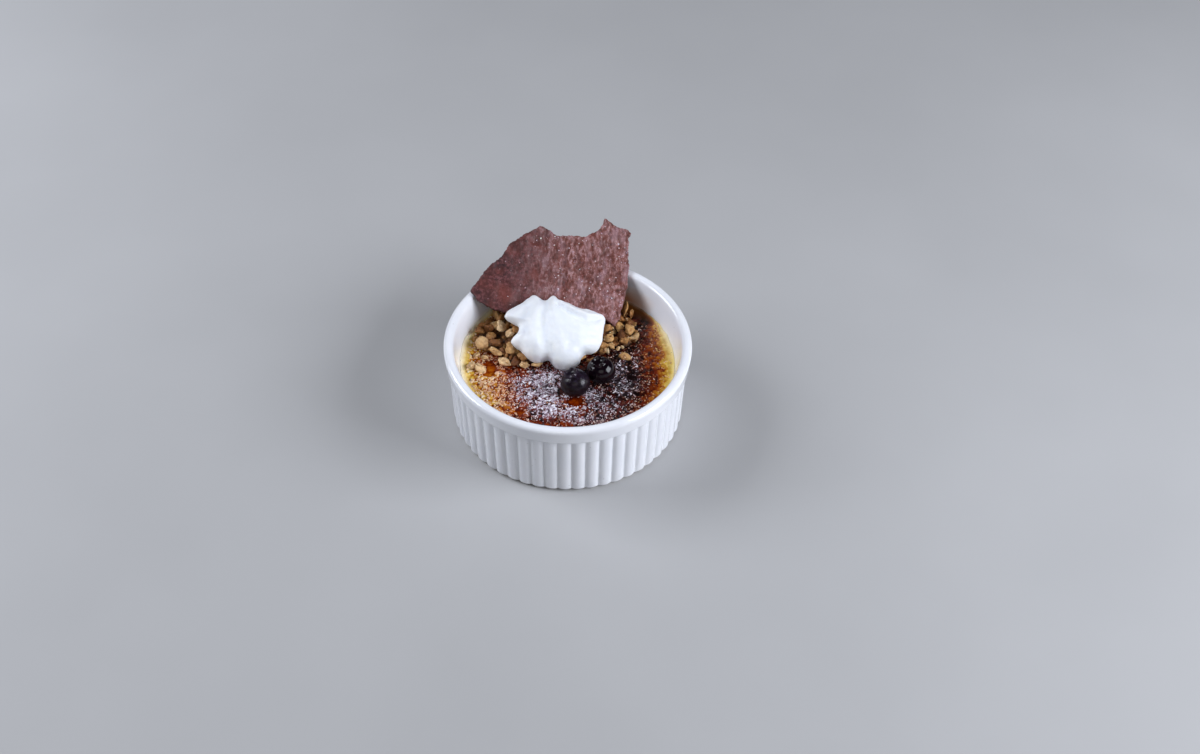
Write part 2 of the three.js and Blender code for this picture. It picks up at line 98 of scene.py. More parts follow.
# %% Light
LAMP_DISTANCE = 0.9  # metres
LAMP_AIM = Vector((0, 0, 0.03))  # a point just over the crust, in metres
COOL_WHITE = (0.88, 0.915, 1.0)
PLAIN_WHITE = (1.0, 1.0, 1.0)
SKY_COLOUR = (0.80, 0.85, 1.0, 1.0)
SKY_STRENGTH = 0.05


def soft_box(name, azimuth, elevation, width, height, watts, colour):
    """A rectangular lamp that faces the dessert. It stands at degrees round the dish, from
    +X, and at degrees above the table. Its width and height are in metres."""
    turn, climb = math.radians(azimuth), math.radians(elevation)
    flat = math.cos(climb)
    direction = Vector((math.cos(turn) * flat, math.sin(turn) * flat, math.sin(climb)))
    direction = direction.normalized()
    data = bpy.data.lights.new(name, "AREA")
    data.shape = "RECTANGLE"
    data.size = width
    data.size_y = height
    data.energy = watts
    data.color = colour
    lamp = bpy.data.objects.new(name, data)
    bpy.context.collection.objects.link(lamp)
    lamp.location = direction * LAMP_DISTANCE + LAMP_AIM
    lamp.rotation_euler = direction.to_track_quat("Z", "Y").to_euler()
    print(name, watts, "W")


def even_sky():
    world = bpy.data.worlds.new("studio")
    world.use_nodes = True
    background = world.node_tree.nodes["Background"]
    background.inputs["Color"].default_value = SKY_COLOUR
    background.inputs["Strength"].default_value = SKY_STRENGTH
    bpy.context.scene.world = world
    print("even sky", SKY_STRENGTH)


soft_box("soft_box_right", -15, 29, 0.55, 0.50, 9.6, COOL_WHITE)
soft_box("soft_box_left", 168, 36, 0.55, 0.50, 7.3, COOL_WHITE)
soft_box("fill_in_front", -90, 42, 0.60, 0.40, 0.8, PLAIN_WHITE)
even_sky()
bpy.context.scene.view_settings.view_transform = "Standard"

# %% [markdown]
# ## Tools for meshes
# All shapes are worked out with numpy and handed to Blender as lists of points and faces.
# It keeps thousands of points quick, and a shape can be bent by any formula on the way.
# Three kinds of form cover nearly all of the dessert: a skin between two poles, a sheet with
# two faces and an edge, and many small stones joined into one mesh.

# %% Tools for meshes
def new_piece(name, points, faces, replaced=(), smooth=True):
    """Makes one object from points in millimetres, riding on the dessert's only body. It
    stands for the nodes it replaces, which are hidden."""
    mesh = bpy.data.meshes.new(name)
    mesh.from_pydata((np.asarray(points) * MM).tolist(), [], [list(f) for f in faces])
    mesh.validate()
    if smooth:
        mesh.polygons.foreach_set("use_smooth", np.ones(len(mesh.polygons), bool))
    mesh.update()
    piece = bpy.data.objects.new(name, mesh)
    bpy.context.collection.objects.link(piece)
    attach(piece, "root")
    if replaced:
        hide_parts(*replaced)
    print(name, len(mesh.vertices), "points", len(mesh.polygons), "faces")
    return piece


def paint(piece, name, values):
    """Stores one number for each point, for a material to read."""
    layer = piece.data.attributes.new(name, "FLOAT", "POINT")
    layer.data.foreach_set("value", np.asarray(values, np.float32))


def ring_faces(rows, columns):
    """Quads between rows of a closed ring, as four corner numbers each."""
    row, column = np.meshgrid(np.arange(rows - 1), np.arange(columns), indexing="ij")
    here = row * columns + column
    beside = row * columns + (column + 1) % columns
    return np.stack([here, here + columns, beside + columns, beside], -1).reshape(-1, 4)


def pole_skin(grid):
    """Closes a grid of rings, [row, column, xyz], with one point at each end."""
    rows, columns, _ = grid.shape
    body = grid.reshape(-1, 3)
    points = np.vstack([body, grid[0].mean(0), grid[-1].mean(0)])
    faces = ring_faces(rows, columns).tolist()
    start, end = len(body), len(body) + 1
    last = (rows - 1) * columns
    for column in range(columns):
        beside = (column + 1) % columns
        faces.append([start, column, beside])
        faces.append([end, last + beside, last + column])
    return points, faces


def sheet_shell(upper, lower, triangles):
    """A closed body from two copies of one sheet of triangles, joined round their edges."""
    triangles = np.asarray(triangles)
    count = len(upper)
    sides = np.vstack([triangles[:, [0, 1]], triangles[:, [1, 2]], triangles[:, [2, 0]]])
    both = {tuple(side) for side in sides.tolist()}
    border = [(a, b) for a, b in both if (b, a) not in both]
    faces = triangles.tolist() + (triangles[:, ::-1] + count).tolist()
    faces += [[b, a, a + count, b + count] for a, b in border]
    return np.vstack([upper, lower]), faces


# %% [markdown]
# ## Small lumps
# Sugar comes in thousands of lumps, and a ready-made sphere for each would be slow and too
# round. So a twenty-sided ball is worked out once. As it is, it makes a grain, with each
# corner pushed in or out by chance. Split a few times, it is the rough stone that nuts are
# cut from.

# %% Balls and small lumps
def ball(level):
    """Points and triangles of a ball with its 20 faces split a few times."""
    phi = (1 + math.sqrt(5)) / 2
    points = [(-1, phi, 0), (1, phi, 0), (-1, -phi, 0), (1, -phi, 0)]
    points += [(0, -1, phi), (0, 1, phi), (0, -1, -phi), (0, 1, -phi)]
    points += [(phi, 0, -1), (phi, 0, 1), (-phi, 0, -1), (-phi, 0, 1)]
    faces = [(0, 11, 5), (0, 5, 1), (0, 1, 7), (0, 7, 10), (0, 10, 11)]
    faces += [(1, 5, 9), (5, 11, 4), (11, 10, 2), (10, 7, 6), (7, 1, 8)]
    faces += [(3, 9, 4), (3, 4, 2), (3, 2, 6), (3, 6, 8), (3, 8, 9)]
    faces += [(4, 9, 5), (2, 4, 11), (6, 2, 10), (8, 6, 7), (9, 8, 1)]
    points = [np.array(p) / np.linalg.norm(p) for p in points]
    for _ in range(level):
        middles, split = {}, []
        for a, b, c in faces:
            corners = []
            for one, other in ((a, b), (b, c), (c, a)):
                key = (min(one, other), max(one, other))
                if key not in middles:
                    middle = points[one] + points[other]
                    points.append(middle / np.linalg.norm(middle))
                    middles[key] = len(points) - 1
                corners.append(middles[key])
            ab, bc, ca = corners
            split += [(a, ab, ca), (b, bc, ab), (c, ca, bc), (ab, bc, ca)]
        faces = split
    return np.array(points), np.array(faces)


LUMP_CORNERS = 12
LUMP_UNEVENNESS = (0.62, 1.3)  # each corner's distance from the middle, as a share
LUMP_FLATTENING = 0.75


def small_lumps(name, slot, places, size, stretch, random, **paints):
    """Irregular lumps, each stretched and turned its own way, in one piece."""
    directions, sides = ball(0)
    count = len(places)
    uneven = random.uniform(*LUMP_UNEVENNESS, (count, LUMP_CORNERS, 1))
    shape = directions * uneven * size[:, None, None]
    shape[..., 0] *= stretch[:, None]
    shape[..., 2] *= LUMP_FLATTENING
    turn = random.uniform(0, TAU, count)[:, None]
    across = shape[..., 0] * np.cos(turn) - shape[..., 1] * np.sin(turn)
    along = shape[..., 0] * np.sin(turn) + shape[..., 1] * np.cos(turn)
    points = np.stack([across, along, shape[..., 2]], -1) + places[:, None, :]
    faces = sides + LUMP_CORNERS * np.arange(count)[:, None, None]
    piece = new_piece(name, points.reshape(-1, 3), faces.reshape(-1, 3), smooth=False)
    for paint_name, values in paints.items():
        paint(piece, paint_name, np.repeat(values, LUMP_CORNERS))
    return piece


# %% [markdown]
# ## Smooth random numbers
# Nothing baked or whipped is even. Blender's own noise textures live in materials, and here
# the meshes need the same kind of chance: bumps on the crust, tears in the shard, folds in
# the cream. So noise is made from whole numbers mixed up by a fixed rule, which gives the
# same dessert each time. Sugar grains are domes, one in each small square of a plane.

# %% Smooth random numbers
def lattice(ix, iy, iz, seed):
    """A repeatable number from 0 to 1 for every whole-numbered place, by a common way of
    mixing up the bits of whole numbers."""
    mixed = ix * 374761393 + iy * 668265263 + iz * 1274126177 + seed * 362437
    mixed = (mixed ^ (mixed >> 13)) & 0xFFFFFFFF
    mixed = (mixed * 1103515245 + 12345) & 0xFFFFFFFF
    mixed = ((mixed ^ (mixed >> 15)) * 668265263) & 0xFFFFFFFF
    return ((mixed >> 8) & 0xFFFF) / 65535.0


NOISE_START = 1000.0  # far enough for every place to be above 0
GRAIN_START = 500.0


def soft_noise(points, size, seed):
    """Smooth noise from -1 to 1 whose bumps are about size millimetres wide."""
    place = np.asarray(points, float) / size + NOISE_START
    whole = np.floor(place).astype(np.int64)
    part = place - whole
    ease = part * part * (3 - 2 * part)
    total = 0.0
    for corner in range(8):
        step = [(corner >> axis) & 1 for axis in range(3)]
        weight = 1.0
        for axis in range(3):
            share = ease[..., axis]
            weight = weight * (share if step[axis] else 1 - share)
        corner_place = [whole[..., axis] + step[axis] for axis in range(3)]
        total = total + weight * lattice(*corner_place, seed)
    return 2 * total - 1


def layered_noise(points, size, seed, layers=3, fade=0.5):
    """Coarse noise with finer noise on it."""
    total, weight, sum_of_weights = 0.0, 1.0, 0.0
    for layer in range(layers):
        total = total + weight * soft_noise(points, size / 2**layer, seed + 17 * layer)
        sum_of_weights += weight
        weight *= fade
    return total / sum_of_weights


def grains(x, y, size, seed):
    """Round grains on a plane: height from 0 to 1 at each place, and each grain's own number."""
    place = np.stack([x, y], -1) / size + GRAIN_START
    whole = np.floor(place).astype(np.int64)
    height = np.zeros(x.shape)
    owner = np.zeros(x.shape)
    for step_x in (-1, 0, 1):
        for step_y in (-1, 0, 1):
            cell_x, cell_y = whole[..., 0] + step_x, whole[..., 1] + step_y
            centre_x = cell_x + 0.15 + 0.7 * lattice(cell_x, cell_y, cell_x * 0, seed)
            centre_y = cell_y + 0.15 + 0.7 * lattice(cell_x, cell_y, cell_x * 0 + 1, seed)
            own = lattice(cell_x, cell_y, cell_x * 0 + 2, seed)
            reach = 0.45 + 0.45 * own
            gap = np.hypot(place[..., 0] - centre_x, place[..., 1] - centre_y) / reach
            dome = np.sqrt(np.clip(1 - gap * gap, 0, 1)) * (0.5 + 0.5 * own)
            owner = np.where(dome > height, own, owner)
            height = np.maximum(height, dome)
    return height, owner


def smooth_step(low, high, value):
    """0 at low and beyond, 1 at high and beyond, and a soft S in between."""
    share = np.clip((value - low) / (high - low), 0, 1)
    return share * share * (3 - 2 * share)


def on_plane(x, y):
    """Places with a height of 0, for noise that depends on x and y alone."""
    return np.stack([x, y, 0 * x], -1)


sample = soft_noise(on_plane(np.arange(1000.0), np.zeros(1000)), 3.0, 1)
print("noise runs from", round(sample.min(), 2), "to", round(sample.max(), 2))

# %% [markdown]
# ## Tools for materials
# Every finish is a small tree of nodes. The tree reads places in millimetres on the dessert
# itself, so a pattern has its real size and stays put when the dessert is turned. Numbers
# painted on a mesh's points, such as how burnt the sugar is, steer the colour ramps.
# Colours are given as a screen shows them, from 0 to 255, and turned into linear values.

# %% Colours
def srgb(red, green, blue):
    """A colour as a screen shows it, in Blender's linear values."""
    values = []
    for part in (red, green, blue):
        share = part / 255
        values.append(share / 12.92 if share <= 0.04045 else ((share + 0.055) / 1.055) ** 2.4)
    return (*values, 1.0)


def grey(value):
    """A grey in linear values."""
    return (value, value, value, 1.0)


print("middle grey is", round(srgb(128, 128, 128)[0], 3), "in linear values")


# %% Tools for materials
class Finish:
    """A material that is built line by line."""

    def __init__(self, name, **sockets):
        self.material = bpy.data.materials.new(name)
        self.material.use_nodes = True
        self.tree = self.material.node_tree
        self.shader = self.tree.nodes["Principled BSDF"]
        self.set(**sockets)
        texture_place = self.tree.nodes.new("ShaderNodeTexCoord").outputs["Object"]
        self.place = self.in_millimetres(texture_place)

    def put(self, socket, value):
        """Feeds a socket: another socket is linked, a number or colour is set."""
        if isinstance(value, bpy.types.NodeSocket):
            self.tree.links.new(value, socket)
        else:
            socket.default_value = value

    def in_millimetres(self, place):
        node = self.tree.nodes.new("ShaderNodeVectorMath")
        node.operation = "SCALE"
        node.inputs["Scale"].default_value = 1 / MM
        self.put(node.inputs[0], place)
        return node.outputs["Vector"]

    def stretched(self, stretch):
        """The place with each axis multiplied: below 1 draws a pattern out along it."""
        node = self.tree.nodes.new("ShaderNodeVectorMath")
        node.operation = "MULTIPLY"
        self.put(node.inputs[0], self.place)
        self.put(node.inputs[1], stretch)
        return node.outputs["Vector"]

    def axes(self, vector):
        """The X, Y and Z of a place or a direction, by name."""
        node = self.tree.nodes.new("ShaderNodeSeparateXYZ")
        self.put(node.inputs[0], vector)
        return node.outputs

    def math(self, operation, first, second=0.0):
        node = self.tree.nodes.new("ShaderNodeMath")
        node.operation = operation
        self.put(node.inputs[0], first)
        self.put(node.inputs[1], second)
        return node.outputs["Value"]

    def times(self, first, second):
        return self.math("MULTIPLY", first, second)

    def plus(self, first, second):
        return self.math("ADD", first, second)

    def minus(self, first, second):
        return self.math("SUBTRACT", first, second)

    def noise(self, size, detail=2.0, roughness=0.5, stretch=None):
        """Noise from 0 to 1 with bumps of the given size in millimetres."""
        place = self.place if stretch is None else self.stretched(stretch)
        node = self.tree.nodes.new("ShaderNodeTexNoise")
        self.put(node.inputs["Vector"], place)
        node.inputs["Scale"].default_value = 1 / size
        node.inputs["Detail"].default_value = detail
        node.inputs["Roughness"].default_value = roughness
        return node.outputs["Fac"]

    def cells(self, size, output="Distance"):
        """Cells of the given size: distance from their centres, or their own colour."""
        node = self.tree.nodes.new("ShaderNodeTexVoronoi")
        self.put(node.inputs["Vector"], self.place)
        node.inputs["Scale"].default_value = 1 / size
        return node.outputs[output]

    def painted(self, name):
        """The number that was painted on the mesh under this name."""
        node = self.tree.nodes.new("ShaderNodeAttribute")
        node.attribute_name = name
        return node.outputs["Fac"]

    def ramp(self, factor, stops):
        """A colour ramp from (position, colour) stops."""
        node = self.tree.nodes.new("ShaderNodeValToRGB")
        marks = node.color_ramp.elements
        while len(marks) < len(stops):
            marks.new(1.0)
        for mark, (position, colour) in zip(marks, stops):
            mark.position = position
            mark.color = colour
        self.put(node.inputs["Fac"], factor)
        return node.outputs["Color"]

    def between(self, factor, low, high):
        """0 at low and beyond, 1 at high and beyond, straight in between."""
        node = self.tree.nodes.new("ShaderNodeMapRange")
        self.put(node.inputs["Value"], factor)
        node.inputs["From Min"].default_value = low
        node.inputs["From Max"].default_value = high
        return node.outputs["Result"]

    def blend(self, factor, first, second, kind="MIX"):
        """The first colour where the factor is 0, the second where it is 1."""
        node = self.tree.nodes.new("ShaderNodeMix")
        node.data_type = "RGBA"
        node.blend_type = kind
        self.put(node.inputs["Factor"], factor)
        self.put(node.inputs[6], first)
        self.put(node.inputs[7], second)
        return node.outputs[2]

    def relief(self, height, depth, under=None):
        """Bumps of the given depth in millimetres, on top of other bumps if any."""
        node = self.tree.nodes.new("ShaderNodeBump")
        node.inputs["Distance"].default_value = depth * MM
        self.put(node.inputs["Height"], height)
        if under is not None:
            self.put(node.inputs["Normal"], under)
        return node.outputs["Normal"]

    def set(self, **sockets):
        """Feeds the shader's sockets, named with _ for each space, and gives the material."""
        for socket, value in sockets.items():
            self.put(self.shader.inputs[socket.replace("_", " ")], value)
        return self.material


def dress(piece, material):
    piece.data.materials.clear()
    piece.data.materials.append(material)
    print(piece.name, "is finished as", material.name)


# %% [markdown]
# ## Floor
# A plain pale floor. A curved backdrop would hide a horizon, but the camera looks down and
# sees none, so one large square is enough. Its far edge shows only from low down. A faint
# broad noise keeps it from looking like a flat colour. It is a stage, not a part of the
# dessert.

# %% Floor
FLOOR_HALF_WIDTH = 2.5  # metres
FLOOR_DROP = 0.0003  # metres below the foot ring, so that the two don't share a plane


def make_floor():
    half = FLOOR_HALF_WIDTH
    corners = [(-half, -half, 0), (half, -half, 0), (half, half, 0), (-half, half, 0)]
    mesh = bpy.data.meshes.new("floor")
    mesh.from_pydata(corners, [], [[0, 1, 2, 3]])
    floor = bpy.data.objects.new("floor", mesh)
    floor.location.z = -FLOOR_DROP
    bpy.context.collection.objects.link(floor)
    finish = Finish("pale_floor", Roughness=0.7)
    tone = finish.ramp(finish.noise(120, 3), [(0.3, grey(0.41)), (0.7, grey(0.44))])
    dress(floor, finish.set(Base_Color=tone))


make_floor()

# %% [markdown]
# ## Ramekin
# A ramekin is slip-cast porcelain under a clear glaze. Its wall carries 54 upright ribs,
# rounded like pillars with narrow grooves between, under a plain band that ends in a rolled
# rim. It could be made by stacking cylinders, but it is the soft passages that make
# porcelain look fired: so one profile is turned round the axis, and the ribs are pressed
# into it where the profile says. The dish stands on a narrow foot ring.

# %% Ramekin dimensions
RIM_RADIUS = 48.0
RIM_HEIGHT = 36.0
BAND_FOOT = RIM_HEIGHT - 6.8
RIB_COUNT = 54
RIB_TOP_RADIUS = 46.6
RIB_FOOT_RADIUS = 45.5
RIB_DEPTH = 0.95
INNER_RIM_RADIUS = 44.2
INNER_FOOT_RADIUS = 40.6
INNER_FILLET = 5.0
FLOOR_THICKNESS = 4.0
CUSTARD_LEVEL = 24.0
LEVEL_RADIUS = 41.7  # of the inner wall at the custard
BASE_RECESS = 0.8  # the base inside the foot ring stands this far above the table
print("rim", 2 * RIM_RADIUS, "mm across,", RIM_HEIGHT, "mm high,", RIB_COUNT, "ribs")


# %% Ramekin profile
def inner_radius(height):
    """Radius of the inner wall at a height."""
    low = FLOOR_THICKNESS + INNER_FILLET
    heights = [low, CUSTARD_LEVEL, RIM_HEIGHT - 0.8]
    return np.interp(height, heights, [INNER_FOOT_RADIUS, LEVEL_RADIUS, INNER_RIM_RADIUS])


def arc_points(centre_radius, centre_height, radius, start, end, steps):
    """Points [radius, height] of an arc, in degrees from outward towards up."""
    angles = np.radians(np.linspace(start, end, steps + 1))
    return [
        (centre_radius + radius * math.cos(a), centre_height + radius * math.sin(a))
        for a in angles
    ]


def ramekin_profile():
    """The turned profile, from the middle of the underside to the middle of the floor, with
    the share of the ribs' depth at each point."""
    profile = []

    def add(points, share=0):
        profile.extend((radius, height, share) for radius, height in points)

    # The underside and the foot ring.
    add([(r, BASE_RECESS) for r in (0.5, 20, 36, 40.2)])
    add(arc_points(41.0, BASE_RECESS - 0.45, 0.45, 100, 180, 3)[::-1])
    add([(41.2, 0.0), (43.2, 0.0), (43.9, 0.02)])
    # The ribs grow out of a rounded foot and end under the band.
    for share in np.linspace(0, 1, 9):
        turn = share * math.pi / 2
        radius = RIB_FOOT_RADIUS - 1.5 + 1.5 * math.sin(turn)
        add([(radius, 1.6 * (1 - math.cos(turn)))], share**0.7)
    for height in np.linspace(1.6, BAND_FOOT - 0.9, 10)[1:]:
        add([(np.interp(height, [1.6, BAND_FOOT], [RIB_FOOT_RADIUS, RIB_TOP_RADIUS]), height)], 1)
    add([(RIB_TOP_RADIUS - 0.02, BAND_FOOT - 0.45)], 0.96)
    add([(RIB_TOP_RADIUS, BAND_FOOT - 0.15)], 0.85)
    add([(RIB_TOP_RADIUS + 0.12, BAND_FOOT + 0.02)], 0.5)
    # The plain band, bellied a little.
    add(arc_points(RIM_RADIUS - 1.0, BAND_FOOT + 0.62, 0.6, -80, 0, 5))
    add([(RIM_RADIUS - 0.36, BAND_FOOT + 1.4), (RIM_RADIUS - 0.22, BAND_FOOT + 3.0)])
    add([(RIM_RADIUS - 0.06, BAND_FOOT + 4.6)])
    # The rolled rim.
    add(arc_points(RIM_RADIUS - 1.55, RIM_HEIGHT - 1.55, 1.55, 4, 82, 9))
    add([(RIM_RADIUS - 1.9, RIM_HEIGHT), (RIM_RADIUS - 2.5, RIM_HEIGHT - 0.06)])
    add([(RIM_RADIUS - 3.0, RIM_HEIGHT - 0.2), (INNER_RIM_RADIUS + 0.35, RIM_HEIGHT - 0.5)])
    add([(INNER_RIM_RADIUS + 0.08, RIM_HEIGHT - 0.9)])
    # The inner wall, the fillet and the floor.
    for height in np.linspace(RIM_HEIGHT - 1.4, 9.5, 16):
        add([(float(inner_radius(height)), height)])
    centre = (INNER_FOOT_RADIUS - INNER_FILLET, FLOOR_THICKNESS + INNER_FILLET)
    add(arc_points(*centre, INNER_FILLET, 0, -90, 8))
    add([(r, FLOOR_THICKNESS) for r in (24, 12, 0.5)])
    return np.array(profile)


# %% Ramekin mesh
COLUMNS_PER_RIB = 12
GROOVE_SHARPNESS = 2.4  # 1 gives straight flanks, more gives rounder ribs and narrower grooves
KILN_SWAY = (0.0012, 0.0008)  # share of the radius by which the dish is oval and three-sided


def make_ramekin():
    profile = ramekin_profile()
    columns = RIB_COUNT * COLUMNS_PER_RIB
    angle = np.arange(columns) * TAU / columns
    from_crest = np.abs(2 * ((angle / TAU * RIB_COUNT) % 1) - 1)
    groove = from_crest**GROOVE_SHARPNESS
    radius = profile[:, 0:1] - RIB_DEPTH * profile[:, 2:3] * groove
    height = np.repeat(profile[:, 1:2], columns, 1)
    x, y = radius * np.cos(angle), radius * np.sin(angle)
    around = np.stack([x, y, height], -1)
    # No cast dish is a true circle: the kiln pulls the upper wall in by a tenth of a millimetre.
    oval, three_sided = KILN_SWAY
    sway = 1 + oval * np.sin(2 * angle + 0.7) + three_sided * np.sin(3 * angle + 2.0)
    wall = smooth_step(3, 20, height) * (np.abs(radius - RIM_RADIUS) < 9)
    around[..., :2] *= (1 - wall * (1 - np.minimum(sway, 1.0)))[..., None]
    points, faces = pole_skin(around[::-1])
    return new_piece("porcelain_ramekin", points, faces, ["ramekin"])


ramekin = make_ramekin()

# %% [markdown]
# ## Glazed porcelain
# The body is a cool white. The glaze is glass-smooth but not flat: it has a faint orange
# peel a few millimetres wide. Its white drifts a little in broad clouds, with a pin hole
# here and there. The ring that stood on the kiln shelf is bare and rough. Inside, on the
# left, the wall just above the filling is pale yellow: partly custard that dried there,
# partly a painted reflection of the custard. At the back right, where the shard's shadow
# falls, the wall is brown: partly custard that ran up and burnt, partly painted shade and
# painted warm light from the caramel. Stains could be painted by hand. Here each is a
# height on the wall times a side of the dish, so it keeps its place on the mesh.

# %% Glazed porcelain
BARE_RING = (0.35, 0.10)  # heights where the glaze ends and where the bare clay is full
INSIDE = (44.7, 44.4)  # distances from the axis, from the rim's top to the inner wall
FILM_AND_REFLECTION_HEIGHTS = (27.2, 24.2)
FILM_AND_REFLECTION_SIDE = (12.0, -28.0)  # along X, from where there is none to its full strength
STAIN_AND_SHADE_AZIMUTH = math.radians(66)  # where custard ran up the inner wall and burnt, and where the shard's shadow falls
STAIN_AND_SHADE_HEIGHTS = (32.0, 25.5)
STAIN_AND_SHADE_SIDE = (37.4, 42.0)  # distances from the middle towards that azimuth


def axis_distance(finish, at):
    """Distance from the dish's axis, in millimetres."""
    x_square = finish.math("POWER", at["X"], 2.0)
    y_square = finish.math("POWER", at["Y"], 2.0)
    return finish.math("SQRT", finish.plus(x_square, y_square))


def towards_stain_and_shade(finish, at, low, high):
    """0 to 1 as a place lies further, in millimetres, towards the stained and shaded side."""
    along_x = finish.times(at["X"], math.cos(STAIN_AND_SHADE_AZIMUTH))
    along_y = finish.times(at["Y"], math.sin(STAIN_AND_SHADE_AZIMUTH))
    return finish.between(finish.plus(along_x, along_y), low, high)


def porcelain_finish():
    finish = Finish("glazed_porcelain", IOR=1.5, Coat_Weight=0.5, Coat_Roughness=0.05)
    finish.set(Subsurface_Weight=0.12, Subsurface_Scale=0.0015)
    finish.set(Subsurface_Radius=(1.0, 1.0, 1.1))
    cloud = finish.noise(14, 3)
    body = finish.ramp(cloud, [(0.3, srgb(236, 238, 243)), (0.7, srgb(243, 244, 248))])
    at = finish.axes(finish.place)
    bare = finish.between(at["Z"], *BARE_RING)
    colour = finish.blend(bare, body, srgb(214, 206, 192))
    pin_holes = finish.between(finish.cells(5.5), 0.045, 0.03)
    colour = finish.blend(finish.times(pin_holes, 0.5), colour, srgb(150, 140, 128))
    inner = finish.between(axis_distance(finish, at), *INSIDE)
    # Pale yellow just above the filling: partly dried custard, partly a painted reflection of the
    # custard.
    film_and_painted_light = finish.times(finish.between(at["Z"], *FILM_AND_REFLECTION_HEIGHTS), inner)
    film_and_painted_light = finish.times(film_and_painted_light, finish.between(at["X"], *FILM_AND_REFLECTION_SIDE))
    colour = finish.blend(finish.times(film_and_painted_light, 0.6), colour, srgb(250, 236, 200))
    # Brown at the back right of the inner wall: partly burnt custard, partly painted shade and
    # painted warm light, kept to where the shard's shadow falls.
    broken = finish.between(finish.noise(3.0, 3, 0.6), 0.02, 0.42)
    stain_and_shade = finish.between(at["Z"], *STAIN_AND_SHADE_HEIGHTS)
    stain_and_shade = finish.times(finish.times(stain_and_shade, inner), broken)
    stain_and_shade = finish.times(stain_and_shade, towards_stain_and_shade(finish, at, *STAIN_AND_SHADE_SIDE))
    stain_and_shade_colour = finish.blend(stain_and_shade, srgb(226, 172, 110), srgb(190, 104, 30))
    colour = finish.blend(stain_and_shade, colour, stain_and_shade_colour)
    roughness = finish.plus(finish.times(bare, 0.6), 0.13)
    peel = finish.relief(finish.noise(3.2, 2), 0.035)
    return finish.set(Base_Color=colour, Roughness=roughness, Normal=peel, Coat_Normal=peel)


dress(ramekin, porcelain_finish())

# %% [markdown]
# ## Custard and its burnt crust
# The custard is baked in the dish and fills it to the wall. Sugar strewn on it is melted
# with a flame: it runs together to glass, from amber through red-brown to nearly black,
# while the custard stays yellow at the edge where the flame didn't reach. Half-melted
# grains stand in the caramel all over, about a millimetre wide. A flat disc with a painted
# pattern would lose that relief. So the crust is a fine grid, bent from a square to a
# circle, and its points carry numbers for the finish: how burnt the sugar is, how smoothly
# it melted, how high its grain stands, and how much dust and dried custard lie on it. At
# the left wall that pale dried custard is also painted light, where the wall shades the edge.

# %% Crust height
def crust_level(x, y):
    """The broad bumps of the crust, as in the solid custard."""
    waves = np.sin(x * 0.52 + 1.3 * np.sin(y * 0.21)) * np.cos(y * 0.47 - 0.8)
    waves = waves + 0.6 * np.sin(x * 0.93 - y * 0.71 + 2.1)
    return CUSTARD_LEVEL - 0.7 * (1.6 - waves) / 3.2


def spot(x, y, centre, reach_x, reach_y, flatness=1.0):
    """1 at a centre, fading to 0 over the given reaches, from a flatter top if asked."""
    away = ((x - centre[0]) / reach_x) ** 2 + ((y - centre[1]) / reach_y) ** 2
    return np.exp(-(away**flatness))


def wall_gap(x, y):
    """Distance from the wall, in millimetres."""
    return np.clip(LEVEL_RADIUS - np.hypot(x, y), 0, None)


def azimuth_of(x, y):
    """Degrees round the dish, from +X, up to 180 on either side."""
    return np.degrees(np.arctan2(y, x))


def leftness(x):
    """1 at the left wall, 0 at the right wall."""
    return np.clip(0.5 - 0.5 * x / LEVEL_RADIUS, 0, 1)


# %% How burnt the sugar is
# Width of the unburnt and the amber edge, in millimetres, at degrees round the dish.
EDGE_WIDTHS = [
    (0, 8.6), (6, 8.4), (14, 7.8), (22, 6.2), (31, 3.4), (38, 1.2), (46, 0.4), (75, 0.3),
    (110, 2.4), (150, 5.8), (172, 6.8), (182, 6.9), (189, 5.0), (204, 6.7), (218, 5.9),
    (235, 4.0), (252, 2.6), (275, 2.0), (310, 3.0), (325, 3.5), (339, 4.4), (352, 5.7),
    (360, 8.6),
]

# Where the caramel ran together, no grain stands up and it stayed amber: x, y, reach in x
# and in y, and how much less burnt it is.
GLASSY_SPOTS = [
    (3.3, -20.7, 3.7, 2.8, 0.34),
    (-2.3, -15.8, 1.5, 2.4, 0.10),
    (-30.0, -4.4, 2.5, 5.2, 0.20),
    (17.8, -16.8, 2.4, 1.1, 0.36),
    (-17.5, -26.6, 2.4, 1.4, 0.34),
]

# Darker and lighter places: centre, reaches, amount.
BURN_SPOTS = [
    ((21, -3), (12, 18), 0.27),
    ((12, -26), (12, 7), 0.07),
    ((-1, -25), (9, 9), -0.11),
    ((4, -14), (15, 9), 0.08),
    ((-33, -9), (10, 13), -0.25),
    ((-24, -21), (10, 9), -0.14),
    ((-12, -38), (18, 5), -0.10),
    # The next spot lightens the crust in the shard's shadow at the back right: painted light.
    ((28, 25), (8, 9), -0.08),
    ((36, -8), (5, 14), -0.10),
    ((29, 9), (6, 9), 0.09),
    ((28.5, 18.5), (4.0, 5.0), 0.16),
]


def burn_at(x, y):
    """How dark the sugar is burnt, from 0 for bare custard to 1 for black."""
    flat = on_plane(x, y)
    burn = 0.80 + 0.10 * layered_noise(flat, 8.0, 41, 3) + 0.10 * layered_noise(flat, 2.6, 43, 2)
    for centre, (reach_x, reach_y), amount in BURN_SPOTS:
        burn += amount * spot(x, y, centre, reach_x, reach_y)
    width = np.interp(azimuth_of(x, y) % 360, *np.array(EDGE_WIDTHS).T)
    width = width * (1 + 0.38 * layered_noise(flat, 6.0, 47, 3))
    reached = 1 - np.exp(-((wall_gap(x, y) / width) ** 1.3))
    for glassy_x, glassy_y, reach_x, reach_y, lighter in GLASSY_SPOTS:
        burn -= lighter * spot(x, y, (glassy_x, glassy_y), reach_x, reach_y)
    return np.clip(burn * reached, 0, 1)


middle_burn = float(burn_at(np.array([0.0]), np.array([0.0]))[0])
print("burn in the middle", round(middle_burn, 2))


